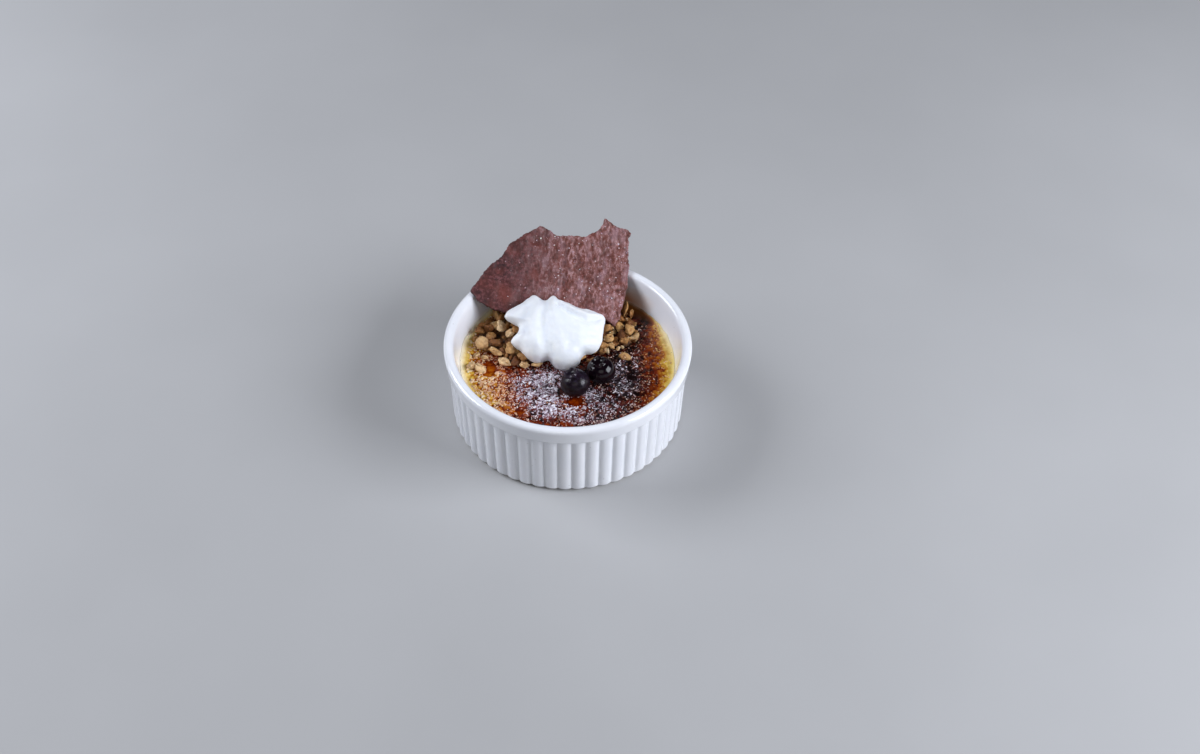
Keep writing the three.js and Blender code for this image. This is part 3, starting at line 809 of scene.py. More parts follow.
# %% Grains in the crust
def crust_grain(x, y):
    """Half-melted sugar grains of two sizes, drowned where the caramel has run smooth:
    their relief, how smooth it ran, and each grain's own number."""
    coarse, own = grains(x, y, 1.50, 3)
    fine, _ = grains(x, y, 0.72, 9)
    run_smooth = 0.6 * smooth_step(0.42, 0.70, layered_noise(on_plane(x, y), 4.0, 61, 2))
    for glassy_x, glassy_y, reach_x, reach_y, _ in GLASSY_SPOTS:
        here = spot(x, y, (glassy_x, glassy_y), reach_x, reach_y)
        run_smooth = np.maximum(run_smooth, smooth_step(0.3, 0.6, here))
    into_corner = x * math.cos(STAIN_AND_SHADE_AZIMUTH) + y * math.sin(STAIN_AND_SHADE_AZIMUTH)
    run_smooth = np.maximum(run_smooth, smooth_step(31, 36, into_corner))
    relief = (0.50 * coarse + 0.17 * fine) * (1 - 0.9 * run_smooth)
    return relief, run_smooth, own


def crust_surface(x, y):
    """Height of the crust with its grains and the rise at the wall, and what it's made of:
    the grains' relief, how glassy it is, each grain's own number, and the burn."""
    relief, glassy, own = crust_grain(x, y)
    burn = burn_at(x, y)
    flat = on_plane(x, y)
    to_left = leftness(x)
    climb = 0.8 + 1.2 * to_left**2 + 0.4 * layered_noise(flat, 7.0, 73, 2)
    meniscus = climb * np.exp(-wall_gap(x, y) / (0.9 + 0.8 * to_left))
    skin = 0.10 * layered_noise(flat, 1.6, 71, 2)
    crust = smooth_step(0.04, 0.25, burn)
    level = crust_level(x, y) - 0.15 + meniscus + skin
    return level + relief * (0.18 + 0.82 * crust), relief, glassy, own, burn


at_wall = crust_surface(np.array([-LEVEL_RADIUS]), np.array([0.0]))[0]
print("the custard climbs to", round(float(at_wall[0]), 1), "mm at the left wall")

# %% [markdown]
# ## Where the powder sugar lies
# The last thing on such a dessert is icing sugar through a sieve: thick in front of the
# berries, thinner to the right, hardly any near the wall. It stays on top of the sugar
# grains, and the gaps between them stay dark. So it is made twice: as a coat on the grains'
# tops, which the crust's material shows, and as loose clumps, a piece of their own that
# comes near the end of this file. Both ask the same function how much lies where.

# %% Powder density
# Centre, reaches and share of the crust that the sugar covers there.
DUST_SPOTS = [
    ((-8, -15), (12, 12), 1.0),
    ((-5, -25), (13, 5.8), 0.80),
    ((8, -30.5), (10, 3.2), 0.64),
    ((-20, -17), (8, 10), 0.45),
    ((-29, -14), (8, 9), 0.20),
    ((15.5, -24.5), (12.5, 7), 0.50),
    ((9.5, -18.5), (8, 5.4), 0.58),
    ((22, -7.5), (8.4, 13), 0.46),
    ((20, 2), (5, 3), 0.34),
]

# Bare places in the dusted part: centre and reaches.
BARE_SPOTS = [
    ((-14.7, -12.9), (2.2, 1.4)),
    # The next bare place, at the foot of the front berry, shows dark caramel: partly bare of
    # sugar, partly painted shade of the berry's contact shadow.
    ((-1.9, -15.6), (1.4, 2.2)),
    ((28.8, -5.8), (1.2, 8.0)),
]


def dust_at(x, y):
    """Share of the crust that sugar covers."""
    cover = 0.03
    for centre, (reach_x, reach_y), share in DUST_SPOTS:
        cover = np.maximum(cover, share * spot(x, y, centre, reach_x, reach_y, 1.7))
    for centre, (reach_x, reach_y) in BARE_SPOTS:
        cover = cover * (1 - 0.9 * spot(x, y, centre, reach_x, reach_y))
    clumping = 1.0 + 0.55 * layered_noise(on_plane(x, y), 2.8, 151, 2)
    _, glassy, _ = crust_grain(x, y)
    return np.clip(cover * clumping * (1 - glassy), 0, 1)


print(len(DUST_SPOTS), "dusted places and", len(BARE_SPOTS), "bare ones in them")

# %% [markdown]
# ## The custard itself
# Only the crust has to be a fine grid. Rings down the wall and one point on the floor close
# it below, because a body with a hole in it has no inside for light to wander in. Where the
# custard touches the dish it leans out with the wall.

# %% Disc grid
def disc_grid(count, radius):
    """A square grid of points bent into a disc, with quads of nearly equal size."""
    line = np.linspace(-1, 1, count)
    a, b = np.meshgrid(line, line, indexing="ij")
    wide = np.abs(a) >= np.abs(b)
    safe_a = np.where(a == 0, 1, a)
    safe_b = np.where(b == 0, 1, b)
    reach = np.where(wide, a, b)
    angle = np.where(wide, math.pi / 4 * b / safe_a, math.pi / 2 - math.pi / 4 * a / safe_b)
    x, y = radius * reach * np.cos(angle), radius * reach * np.sin(angle)
    row, column = np.meshgrid(np.arange(count - 1), np.arange(count - 1), indexing="ij")
    here = (row * count + column).ravel()
    quads = np.stack([here, here + count, here + count + 1, here + 1], -1)
    return x.ravel(), y.ravel(), quads


# %% Custard mesh
CUSTARD_GRID = 300  # points along each side of the square grid
CUSTARD_SIDES = [(20.0, 1.0), (12.0, 1.0), (7.0, 0.985), (4.9, 0.93)]  # height, share of radius
CUSTARD_FOOT = 4.4
WALL_CLEARANCE = 0.3


def grid_border(count):
    """Numbers of the points round a square grid, in order."""
    last = count - 1
    border = list(range(count)) + [i * count + last for i in range(1, count)]
    border += [last * count + i for i in range(count - 2, -1, -1)]
    return border + [i * count for i in range(count - 2, 0, -1)]


def custard_body(top, quads):
    """Closes the crust below with rings down the wall and one point on the floor."""
    edge = grid_border(CUSTARD_GRID)
    count = len(edge)
    points, faces = [top], quads.tolist()
    previous, start = edge, len(top)
    away = top[edge][:, :2] / np.hypot(top[edge][:, 0], top[edge][:, 1])[:, None]
    for height, share in CUSTARD_SIDES:
        ring = away * (float(inner_radius(height)) - WALL_CLEARANCE) * share
        points.append(np.column_stack([ring, [height] * count]))
        current = list(range(start, start + count))
        for i in range(count):
            j = (i + 1) % count
            faces.append([previous[i], previous[j], current[j], current[i]])
        previous, start = current, start + count
    points.append(np.array([[0, 0, CUSTARD_FOOT]]))
    faces += [[previous[i], previous[(i + 1) % count], start] for i in range(count)]
    return np.vstack(points), faces


def pale_film_and_painted_light(x, y):
    """Pale custard that dried thinly on the crust: at the left wall, and at the right. At the left
    it is broad and bright as painted light, where the wall and the heap shade the edge.
    """
    to_left = leftness(x)
    gap = wall_gap(x, y)
    # At the left the pale edge is broad and bright: painted light where the wall and the heap
    # shade the custard.
    left_film_and_painted_light = (0.25 + 0.75 * to_left**2) * np.exp(-((gap / (0.4 + 0.8 * to_left)) ** 1.5))
    right_film = 0.62 * np.exp(-(((azimuth_of(x, y) - 20) / 13) ** 2) - gap / 1.8)
    return np.maximum(left_film_and_painted_light, right_film)


def make_custard():
    x, y, quads = disc_grid(CUSTARD_GRID, LEVEL_RADIUS + 0.04)
    height, relief, glassy, own, burn = crust_surface(x, y)
    spread = (inner_radius(height) - LEVEL_RADIUS) * smooth_step(1.5, 0, wall_gap(x, y))
    outward = 1 + spread / np.maximum(np.hypot(x, y), 1)
    top = np.stack([x * outward, y * outward, height], -1)
    points, faces = custard_body(top, quads)
    piece = new_piece("custard_and_crust", points, faces, ["custard"])
    hidden = np.zeros(len(points) - len(top))
    for name, values in (
        ("burn", burn),
        ("glassy", glassy),
        ("own", own),
        ("rise", relief),
        ("dust", dust_at(x, y) * smooth_step(0.10, 0.3, burn)),
        ("film_and_painted_light", pale_film_and_painted_light(x, y)),
    ):
        paint(piece, name, np.concatenate([values, hidden]))
    return piece


custard = make_custard()

# %% [markdown]
# ## Caramel
# One ramp runs from egg-yellow custard through amber and red-brown to black. Caramel is
# glass over colour, so a clear coat lies over it. Between the stops the colour flickers from
# grain to grain, as each grain took the flame its own way. The icing sugar could be a piece
# alone, but its finest dust is far too small for that, so the finish lays it on the grains'
# tops: as a haze, and as white grains, one or none in each small cell.

# %% Caramel colour
CUSTARD_TO_BLACK = [
    (0.00, srgb(246, 220, 136)),
    (0.09, srgb(230, 192, 86)),
    (0.20, srgb(208, 154, 50)),
    (0.32, srgb(180, 106, 22)),
    (0.45, srgb(148, 64, 4)),
    (0.58, srgb(116, 36, 2)),
    (0.74, srgb(80, 20, 4)),
    (0.90, srgb(40, 11, 7)),
    (1.00, srgb(22, 8, 8)),
]
SCORCHED_AND_PAINTED_LIGHT_SIDE = (34.0, 39.0)  # distances towards the stained and shaded corner of the wall


def caramel_colour(finish, crest):
    """From custard to black, flickering from grain to grain, with specks in the custard."""
    burn = finish.painted("burn")
    flicker = finish.times(finish.minus(finish.noise(1.1, 3), 0.5), 0.40)
    grain = finish.times(finish.minus(finish.painted("own"), 0.5), -0.16)
    # Grain tops a little less burnt and gaps more: partly thinner caramel on the tops, partly
    # painted highlight on the tops and painted shade in the gaps.
    darker = finish.minus(0.13, finish.times(crest, 0.25))
    shift = finish.plus(finish.plus(flicker, grain), darker)
    shift = finish.times(shift, finish.between(burn, 0.0, 0.35))
    colour = finish.ramp(finish.plus(burn, shift), CUSTARD_TO_BLACK)
    at = finish.axes(finish.place)
    # Towards that corner the crust is blended to a lighter brown: burnt custard, made lighter as
    # painted light in the shard's shadow.
    scorched_and_painted_light = finish.times(towards_stain_and_shade(finish, at, *SCORCHED_AND_PAINTED_LIGHT_SIDE), 0.92)
    colour = finish.blend(scorched_and_painted_light, colour, srgb(128, 74, 18))
    # Pale dried custard at the walls; at the left it is also painted light on the shaded edge.
    colour = finish.blend(finish.painted("film_and_painted_light"), colour, srgb(248, 236, 210))
    specks = finish.between(finish.cells(1.5), 0.10, 0.05)
    bare = finish.between(burn, 0.35, 0.1)
    return finish.blend(finish.times(specks, bare), colour, srgb(96, 56, 20))


# %% Sugar coat and caramel finish
DUST_CELL = 0.62  # width of the cells that hold one grain of dust each
FULLEST_DUST = 0.62  # share of the cells with a grain where the dust is thickest


def sugar_coat(finish, crest, colour):
    """The colour with a haze of icing sugar and its grains on it, and where the grains are."""
    dust = finish.painted("dust")
    own_number = finish.tree.nodes.new("ShaderNodeSeparateColor")
    finish.put(own_number.inputs[0], finish.cells(DUST_CELL, "Color"))
    chance = finish.minus(finish.times(dust, FULLEST_DUST), own_number.outputs[0])
    present = finish.between(chance, 0.0, 0.06)
    body = finish.between(finish.cells(DUST_CELL), 0.46, 0.30)
    powder = finish.times(finish.times(present, body), 0.75)
    haze = finish.math("POWER", dust, 2.4)
    haze = finish.times(haze, finish.between(finish.noise(1.5, 3), 0.35, 0.62))
    haze = finish.times(haze, finish.plus(0.35, crest))
    soaked = finish.between(finish.painted("burn"), 0.68, 0.48)
    haze_colour = finish.blend(soaked, srgb(168, 144, 160), srgb(206, 160, 132))
    colour = finish.blend(finish.times(haze, 0.66), colour, haze_colour)
    powder_colour = finish.blend(soaked, srgb(206, 186, 198), srgb(230, 192, 164))
    return finish.blend(powder, colour, powder_colour), powder


def caramel_finish():
    finish = Finish("burnt_sugar_crust", IOR=1.47, Specular_IOR_Level=0.19)
    finish.set(Subsurface_Weight=0.10, Subsurface_Scale=0.0012, Coat_Weight=0.12)
    finish.set(Subsurface_Radius=(1.0, 0.45, 0.15), Coat_Roughness=0.07)
    crest = finish.between(finish.painted("rise"), 0.12, 0.52)
    colour, powder = sugar_coat(finish, crest, caramel_colour(finish, crest))
    melted = finish.between(finish.painted("glassy"), -0.7, 1.0)
    roughness = finish.minus(0.34, finish.times(melted, 0.20))
    roughness = finish.plus(roughness, finish.times(powder, 0.4))
    pitted = finish.times(finish.cells(DUST_CELL), finish.between(melted, 1.0, 0.4))
    bumps = finish.relief(finish.times(pitted, -1.0), 0.16)
    rough = finish.times(finish.noise(0.3, 2), finish.between(melted, 1.0, 0.5))
    bumps = finish.relief(rough, 0.04, bumps)
    return finish.set(Base_Color=colour, Roughness=roughness, Normal=bumps, Coat_Normal=bumps)


dress(custard, caramel_finish())

# %% [markdown]
# ## Chopped nuts
# The crumble is roasted nuts broken with a knife: stones with flat cut faces, one round
# kernel left whole, and thin flakes. A squashed ball would read as a pebble. So each stone
# is a fine ball cut down by a handful of random planes, with the edges a little rounded.
# They lie on low mounds on the crust, the largest placed one by one and the rest by a spiral
# that spreads them evenly.

# %% Nut places
NUT_FLOOR = CUSTARD_LEVEL + 0.3

# Mounds that carry the nuts: x, y, half length, half width, height.
MOUNDS = [
    (-26.8, 12.5, 9.8, 10.2, 2.0),
    (-19, 2.5, 9, 4.5, 1.5),
    (-4, 11, 17, 10.5, 2.2),
    (13, 12, 6.5, 8, 1.9),
    (22.5, 17.5, 4.2, 9.0, 2.0),
]

# Gaps in the heap, where the dark crust shows between the nuts: x, y, radius.
HEAP_HOLES = [
    (-28.3, 10.8, 2.3),
    (19.4, 14.6, 2.4),
]

# The pieces that stand out: x, y, height of the centre, three half lengths, turn in degrees,
# and tone, from 0 for roasted brown to 1 for pale.
SHOWING_NUTS = [
    (-33.8, 6.8, 2.5, (2.7, 2.7, 2.6), 0, 0.80),
    (-26.8, 14.6, 4.0, (2.5, 2.2, 2.0), 40, 0.95),
    (-23.3, 10.3, 4.2, (3.0, 1.9, 2.0), 80, 0.88),
    (-21.0, 12.3, 4.6, (3.0, 1.7, 2.1), 68, 0.40),
    (-28.9, 21.8, 3.6, (3.4, 1.2, 1.6), 112, 0.50),
    (-26.6, 20.4, 3.6, (3.0, 1.1, 1.5), 60, 0.35),
    (-31.6, 14.4, 3.2, (2.9, 2.2, 1.7), 150, 0.12),
    (-34.9, 13.6, 2.4, (2.4, 1.8, 1.3), 20, 0.40),
    (-36.8, 10.6, 1.3, (1.5, 1.2, 0.9), 70, 0.45),
    (-28.0, 6.6, 3.1, (3.4, 1.8, 1.3), 10, 0.15),
    (-28.8, 2.2, 2.4, (3.0, 1.7, 1.3), 155, 0.75),
    (-22.6, 2.8, 3.0, (2.0, 3.3, 1.7), 10, 0.72),
    (-18.2, 0.2, 2.4, (1.6, 3.1, 1.5), 30, 0.45),
    (-24.6, -2.2, 1.5, (2.9, 2.0, 1.3), 155, 0.90),
    (-17.2, -3.4, 1.3, (2.6, 1.5, 1.1), 170, 0.85),
    (-11.6, -3.2, 1.3, (2.7, 1.4, 1.1), 5, 0.80),
    (15.9, 10.6, 3.2, (2.0, 2.6, 1.6), 155, 0.66),
    (14.6, 15.6, 3.6, (2.0, 2.3, 1.7), 60, 0.50),
    (17.2, 7.6, 1.6, (1.3, 1.6, 1.0), 75, 0.74),
    (23.9, 15.9, 3.2, (2.1, 3.3, 2.0), 165, 0.66),
    (21.8, 10.0, 2.3, (1.9, 1.9, 1.8), 20, 0.45),
    (24.3, 11.5, 1.8, (1.3, 1.1, 0.9), 30, 0.80),
    (24.6, 23.4, 3.6, (0.75, 3.1, 1.8), 168, 0.40),
    (22.1, 25.1, 3.6, (0.85, 3.6, 2.1), 4, 0.55),
    (20.2, 21.2, 3.2, (1.4, 2.6, 1.6), 20, 0.30),
    (19.6, 6.9, 0.7, (1.1, 0.8, 0.6), 40, 0.95),
    (21.3, 7.5, 0.7, (0.9, 0.7, 0.6), 120, 0.90),
    (14.0, 7.1, 2.0, (2.3, 1.9, 1.5), 35, 0.50),
    (9.4, -0.6, 1.5, (2.3, 1.5, 1.3), 15, 0.35),
]

# Single nuts on the crust: x, y, three half lengths, turn in degrees, and tone.
STRAY_NUTS = [
    (-37.0, -4.2, (2.6, 1.8, 1.2), 160, 0.86),
    (-33.9, -5.1, (2.7, 1.9, 1.4), 172, 0.90),
    (-36.0, 2.2, (2.2, 1.5, 1.1), 150, 0.84),
    (-32.6, 1.4, (1.5, 1.1, 0.9), 20, 0.84),
    (22.6, 2.8, (2.7, 1.7, 1.1), 4, 0.70),
]


def mound_height(x, y):
    """Height of the nut mounds over the crust."""
    height = np.zeros(np.shape(x))
    for mound_x, mound_y, half_x, half_y, rise in MOUNDS:
        spread = ((x - mound_x) / half_x) ** 2 + ((y - mound_y) / half_y) ** 2
        height = np.maximum(height, rise * np.sqrt(np.clip(1 - spread, 0, 1)))
    for hole_x, hole_y, radius in HEAP_HOLES:
        height = height * (1 - spot(x, y, (hole_x, hole_y), radius, radius))
    return height


print(len(SHOWING_NUTS), "nuts placed in the heap and", len(STRAY_NUTS), "on the open crust")

# %% [markdown]
# ## Whipped cream
# The dollop was set down with a spoon and leans back onto the tuile. It is one soft skin:
# lobes stand at its edge, two small peaks at the back, and a valley runs from the back to
# the front. Sculpting by hand can't be repeated, so the skin is worked out from an outline
# in the dollop's own leaning plane, raised to a dome. The lobes fade towards the crown.

# %% Cream outline
CREAM_TILT = math.radians(21)
CREAM_CENTRE = np.array([-5.0, 8.5, 31.2])
CREAM_MEAN_RADIUS = 16.0
CREAM_RISE = 8.2  # from its leaning plane up to the crown
CREAM_DROP = 7.5  # and down to the belly

# Outline: degrees round the dollop, and radius there.
CREAM_OUTLINE = [
    (0, 18.4), (10, 19.0), (20, 20.4), (28, 18.8), (36, 17.0), (44, 14.4), (52, 12.7),
    (61, 12.2), (70, 12.1), (79, 11.8), (87, 13.5), (94, 15.8), (100, 15.2), (106, 14.3),
    (112, 15.2), (119, 18.2), (128, 18.4), (136, 18.4), (144, 19.3), (152, 20.6),
    (159, 21.4), (163, 20.9), (167, 15.9), (174, 14.5), (184, 15.2), (194, 17.8),
    (208, 15.6), (217, 15.3), (226, 15.2), (236, 14.8), (243, 14.2), (250, 12.4),
    (256, 11.5), (264, 12.6), (272, 14.7), (282, 15.6), (292, 16.0), (306, 15.9),
    (318, 14.3), (325, 14.8), (331, 16.6), (338, 17.8), (346, 18.2), (353, 18.4),
]


def cream_radius(angle):
    """Smooth closed curve through the outline, for angles in radians."""
    degrees = np.degrees(angle) % 360
    marks = np.array([mark for mark, _ in CREAM_OUTLINE] + [360.0])
    radii = np.array([radius for _, radius in CREAM_OUTLINE])
    count = len(radii)
    i = np.clip(np.searchsorted(marks, degrees, side="right") - 1, 0, count - 1)
    t = (degrees - marks[i]) / (marks[i + 1] - marks[i])
    r0, r1 = radii[(i - 1) % count], radii[i]
    r2, r3 = radii[(i + 1) % count], radii[(i + 2) % count]
    rise1, rise2 = (r2 - r0) / 2, (r3 - r1) / 2
    t2, t3 = t * t, t * t * t
    start = (2 * t3 - 3 * t2 + 1) * r1 + (t3 - 2 * t2 + t) * rise1
    return start + (-2 * t3 + 3 * t2) * r2 + (t3 - t2) * rise2


print("the dollop has", len(CREAM_OUTLINE), "outline points")

# %% Cream folds and dome
# Folds of the dollop: a line in its leaning plane, half width, depth (below 0 a ridge).
CREAM_FOLDS = [
    ([(-4.6, 16), (-4.6, 4.1), (-4.2, -1.6), (-3.3, -6.4), (-2.7, -11.2), (-2.6, -18)], 2.5, 1.2),
    ([(-6.9, 8.8), (-8.7, 3.9), (-8.5, -1.8), (-7.4, -7.1)], 1.9, -0.8),
    ([(-11.5, 9), (-12.3, 2.2), (-11.6, -3.5)], 1.5, 0.75),
    ([(-18, -0.5), (-12.5, 5.2), (-10, 7), (-7.4, 13)], 2.0, 0.4),
    ([(-1.7, 8.5), (-0.5, 2.3), (1.7, -3.2), (2.9, -8.3)], 1.9, -0.65),
    ([(0.9, 9.5), (5.1, 6.3), (9.2, 4.4), (12.3, 3.2), (15.4, 4.5), (18.2, 6.5)], 1.2, 1.2),
    ([(1.9, 11.0), (7.1, 7.7), (12.3, 5.9), (17.5, 7.2)], 1.1, -1.0),
    ([(3.9, 10.6), (8.1, 9.5), (12.2, 8.6), (18, 9.4)], 0.9, 0.9),
    ([(9.0, -16), (10.7, -10.4), (17, -6.0)], 2.6, 0.3),
    ([(5.4, -7.6), (8.4, -7.0)], 1.0, 0.35),
    ([(14.0, -2.3), (16.5, -2.2)], 1.0, 0.4),
    ([(-1.2, -8.4), (-0.6, -12.1)], 0.9, 0.35),
]


def line_distance(x, y, line):
    """Distance from each place to a line of straight pieces."""
    nearest = np.full(np.shape(x), 1e9)
    for (start_x, start_y), (end_x, end_y) in zip(line, line[1:]):
        run_x, run_y = end_x - start_x, end_y - start_y
        share = ((x - start_x) * run_x + (y - start_y) * run_y) / (run_x**2 + run_y**2)
        share = np.clip(share, 0, 1)
        away = np.hypot(x - start_x - share * run_x, y - start_y - share * run_y)
        nearest = np.minimum(nearest, away)
    return nearest


def cream_point(angle, climb):
    """Points of the dollop's skin, for a turn round it and a climb from -90 to 90 degrees."""
    cos, sin = np.clip(np.cos(climb), 0, 1), np.sin(climb)
    # Towards the front its shoulder is fuller, and the crown flatter.
    to_front = np.clip(-np.sin(angle), 0, 1)
    out = np.where(climb > 0, cos ** (0.85 - 0.18 * to_front), cos**1.3)
    # The lobes run far up the left side and fade soon on the right one.
    fading = np.where(climb > 0, 5.4 + 2.0 * np.cos(angle), 1.6)
    lobe = (cream_radius(angle) - CREAM_MEAN_RADIUS) * out**fading
    radius = CREAM_MEAN_RADIUS * out + lobe
    x, y = radius * np.cos(angle), radius * np.sin(angle)
    above = np.clip(sin * 2.2, 0, 1)
    fuller = np.clip(sin, 0, 1) ** (1 - 0.30 * to_front)
    height = np.where(climb > 0, CREAM_RISE * fuller, CREAM_DROP * sin)
    for line, half_width, depth in CREAM_FOLDS:
        height = height - above * depth * np.exp(-((line_distance(x, y, line) / half_width) ** 2))
    height = height + above * 0.40 * layered_noise(on_plane(x, y), 5.5, 81, 3)
    return x, y, height


def cream_world(x, y, height):
    """From the dollop's leaning plane to the dish."""
    cos, sin = math.cos(CREAM_TILT), math.sin(CREAM_TILT)
    return np.stack([x, y * cos - height * sin, y * sin + height * cos], -1) + CREAM_CENTRE


print("the dollop has", len(CREAM_FOLDS), "folds")

# %% [markdown]
# ## Chocolate tuile
# A tuile is batter spread thin, baked and broken: a leathery shard, 1.4 mm thick, with a
# torn edge. It lies on the rim at two places, its lower edge among the nuts. It is drawn as
# an outline in its own plane with the tear added by noise, filled with an even net of
# triangles, and the net is pushed up and down by broad waves and fine ridges.

# %% Tuile plane and waves
TUILE_NORMAL = np.array([0.103, -0.44, 0.892])
TUILE_NORMAL /= np.linalg.norm(TUILE_NORMAL)
TUILE_ORIGIN = np.array([-4.0, 35.78, 39.13])
TUILE_RIGHT = np.array([1.0, 0, 0]) - TUILE_NORMAL[0] * TUILE_NORMAL
TUILE_RIGHT /= np.linalg.norm(TUILE_RIGHT)
TUILE_SLOPE = np.cross(TUILE_NORMAL, TUILE_RIGHT)
TUILE_THICKNESS = 1.4
TUILE_WAVE = 1.1
TUILE_LOWER_EDGE = -19.6
RIM_CONTACTS = [(-34.2, -9.8), (27, 1.5)]
CONTACT_REACH = 8.0

# The broken outline: x to the right and y up the slope, in its own plane.
TUILE_OUTLINE = [
    (-34.8, -10.4), (-32.5, -13.8), (-28.1, -16.7), (-22.0, -18.5), (-10, -18.6), (4, -19.4),
    (18.2, -19.5), (22.1, -22.0), (24.1, -18.6), (26.5, -7.7), (27.6, 3), (27.0, 15.2),
    (28.2, 17.6), (27.0, 18.8), (23.4, 20.0), (17.4, 23.3), (15.8, 18.5), (9.7, 15.4),
    (-1.7, 14.9), (-5.8, 18.0), (-8.6, 18.7), (-13.0, 15.7), (-19.9, 10.8), (-23.4, 5.0),
    (-28.7, -0.2), (-34.8, -9.4),
]


def free_of_rim(x, y):
    """0 where the shard lies on the rim, and 1 well away from there."""
    free = np.ones(np.shape(x))
    for contact in RIM_CONTACTS:
        free = np.minimum(free, 1 - spot(x, y, contact, CONTACT_REACH, CONTACT_REACH))
    return free


def tuile_wave(x, y):
    """The broad waves and the blister, as in the solid shard."""
    across = 0.5 + 0.5 * np.sin(TAU * x / 13 + 0.9 * np.sin(y / 7))
    along = 0.5 + 0.5 * np.sin(TAU * y / 19 + x / 11)
    blister = spot(x, y, (-22, -10.5), 4.2, 3.6)
    waves = np.minimum(0.55 * across + 0.25 * along + 0.6 * blister, 1)
    return TUILE_WAVE * free_of_rim(x, y) * waves


def tuile_world(x, y, height):
    """From the shard's own plane to the dish."""
    place = x[..., None] * TUILE_RIGHT + y[..., None] * TUILE_SLOPE
    return place + height[..., None] * TUILE_NORMAL + TUILE_ORIGIN


def tuile_plane(points):
    """The reverse: x, y and height over the shard's flat upper face."""
    offset = points - TUILE_ORIGIN
    return offset @ TUILE_RIGHT, offset @ TUILE_SLOPE, offset @ TUILE_NORMAL


slope = math.degrees(math.acos(TUILE_NORMAL[2]))
print("the shard leans", round(slope), "degrees and is", TUILE_THICKNESS, "mm thick")

# %% [markdown]
# ## The dollop itself
# The skin worked out above becomes a mesh of rings from the crown to the belly. Soft cream
# takes the shape of what it lies on: where the belly would pass through the shard, it is
# pushed out onto it. Cream is white because fat and air scatter light inside it, so the
# finish lets light wander five millimetres deep, over a white that is never quite even.

# %% Cream mesh
CREAM_ROWS = 120
CREAM_COLUMNS = 260
CREAM_POLE = 0.012  # radians left open at crown and belly, closed by one point each


def make_cream():
    top = math.pi / 2 - CREAM_POLE
    climb = np.linspace(top, -top, CREAM_ROWS)[:, None]
    angle = (np.arange(CREAM_COLUMNS) * TAU / CREAM_COLUMNS)[None, :]
    climb, angle = np.broadcast_arrays(climb, angle)
    grid = cream_world(*cream_point(angle, climb))
    # The belly lies on the shard and on the crust, and doesn't pass through them.
    over_x, over_y, over = tuile_plane(grid)
    resting = tuile_wave(over_x, over_y) + 0.05
    sunk = (over_y > TUILE_LOWER_EDGE) & (over < resting)
    grid = grid + np.where(sunk, resting - over, 0)[..., None] * TUILE_NORMAL
    grid[..., 2] = np.maximum(grid[..., 2], CUSTARD_LEVEL + 0.1)
    # Its surface is a little ragged, more so towards the belly.
    away = grid - grid.reshape(-1, 3).mean(0)
    away /= np.linalg.norm(away, axis=-1)[..., None]
    ragged = 0.12 + 0.50 * np.clip(-np.sin(climb) + 0.45, 0, 0.7)
    grid = grid + away * (ragged * layered_noise(grid, 1.8, 83, 3))[..., None]
    points, faces = pole_skin(grid)
    return new_piece("cream_dollop", points, faces, ["whipped_cream"])


cream = make_cream()


# %% Cream finish
def cream_finish():
    finish = Finish("whipped_cream", Roughness=0.42, IOR=1.42)
    finish.set(Subsurface_Weight=0.8, Subsurface_Scale=0.005)
    finish.set(Subsurface_Radius=(1.0, 0.95, 0.9))
    fat = finish.noise(3.0, 3)
    colour = finish.ramp(fat, [(0.3, srgb(235, 239, 249)), (0.7, srgb(242, 246, 254))])
    bubbles = finish.relief(finish.cells(0.5), 0.03)
    folds = finish.relief(finish.noise(1.6, 3), 0.16, bubbles)
    return finish.set(Base_Color=colour, Normal=folds)


dress(cream, cream_finish())

# %% [markdown]
# ## The shard itself
# A cloth or a plane with a displacement would keep straight edges, and a broken shard has
# none. So the torn outline is filled with small even triangles, and two copies of that net,
# 1.4 mm apart, are joined round the edge. Ridges run up the slope, as the batter was drawn
# out by a knife, with pebbles of cocoa between them.

# %% Torn outline and its net
TEAR_STEP = 0.32  # between points of the torn edge
NET_SPACING = 0.42


def torn_outline():
    """The outline with points every third of a millimetre, pushed in and out by noise."""
    corners = np.array(TUILE_OUTLINE)
    points = []
    for start, end in zip(corners, np.roll(corners, -1, 0)):
        steps = max(int(np.linalg.norm(end - start) / TEAR_STEP), 1)
        for step in range(steps):
            points.append(start + (end - start) * step / steps)
    points = np.array(points)
    side = np.roll(points, -1, 0) - np.roll(points, 1, 0)
    outward = np.column_stack([side[:, 1], -side[:, 0]])
    outward /= np.linalg.norm(outward, axis=1)[:, None]
    flat = on_plane(*points.T)
    tear = 0.55 * layered_noise(flat, 3.4, 91, 4, 0.6) + 0.21 * soft_noise(flat, 0.6, 95)
    return points + outward * tear[:, None]


def inside_outline(places, outline, margin):
    """True for places inside an outline and at least a margin away from its points."""
    crossings = np.zeros(len(places), int)
    nearest = np.full(len(places), 1e9)
    for start, end in zip(outline, np.roll(outline, -1, 0)):
        straddles = (start[1] > places[:, 1]) != (end[1] > places[:, 1])
        rise = end[1] - start[1] if end[1] != start[1] else 1e-9
        cut_x = start[0] + (places[:, 1] - start[1]) * (end[0] - start[0]) / rise
        crossings += straddles & (places[:, 0] < cut_x)
        nearest = np.minimum(nearest, np.hypot(*(places - start).T))
    return (crossings % 2 == 1) & (nearest > margin)


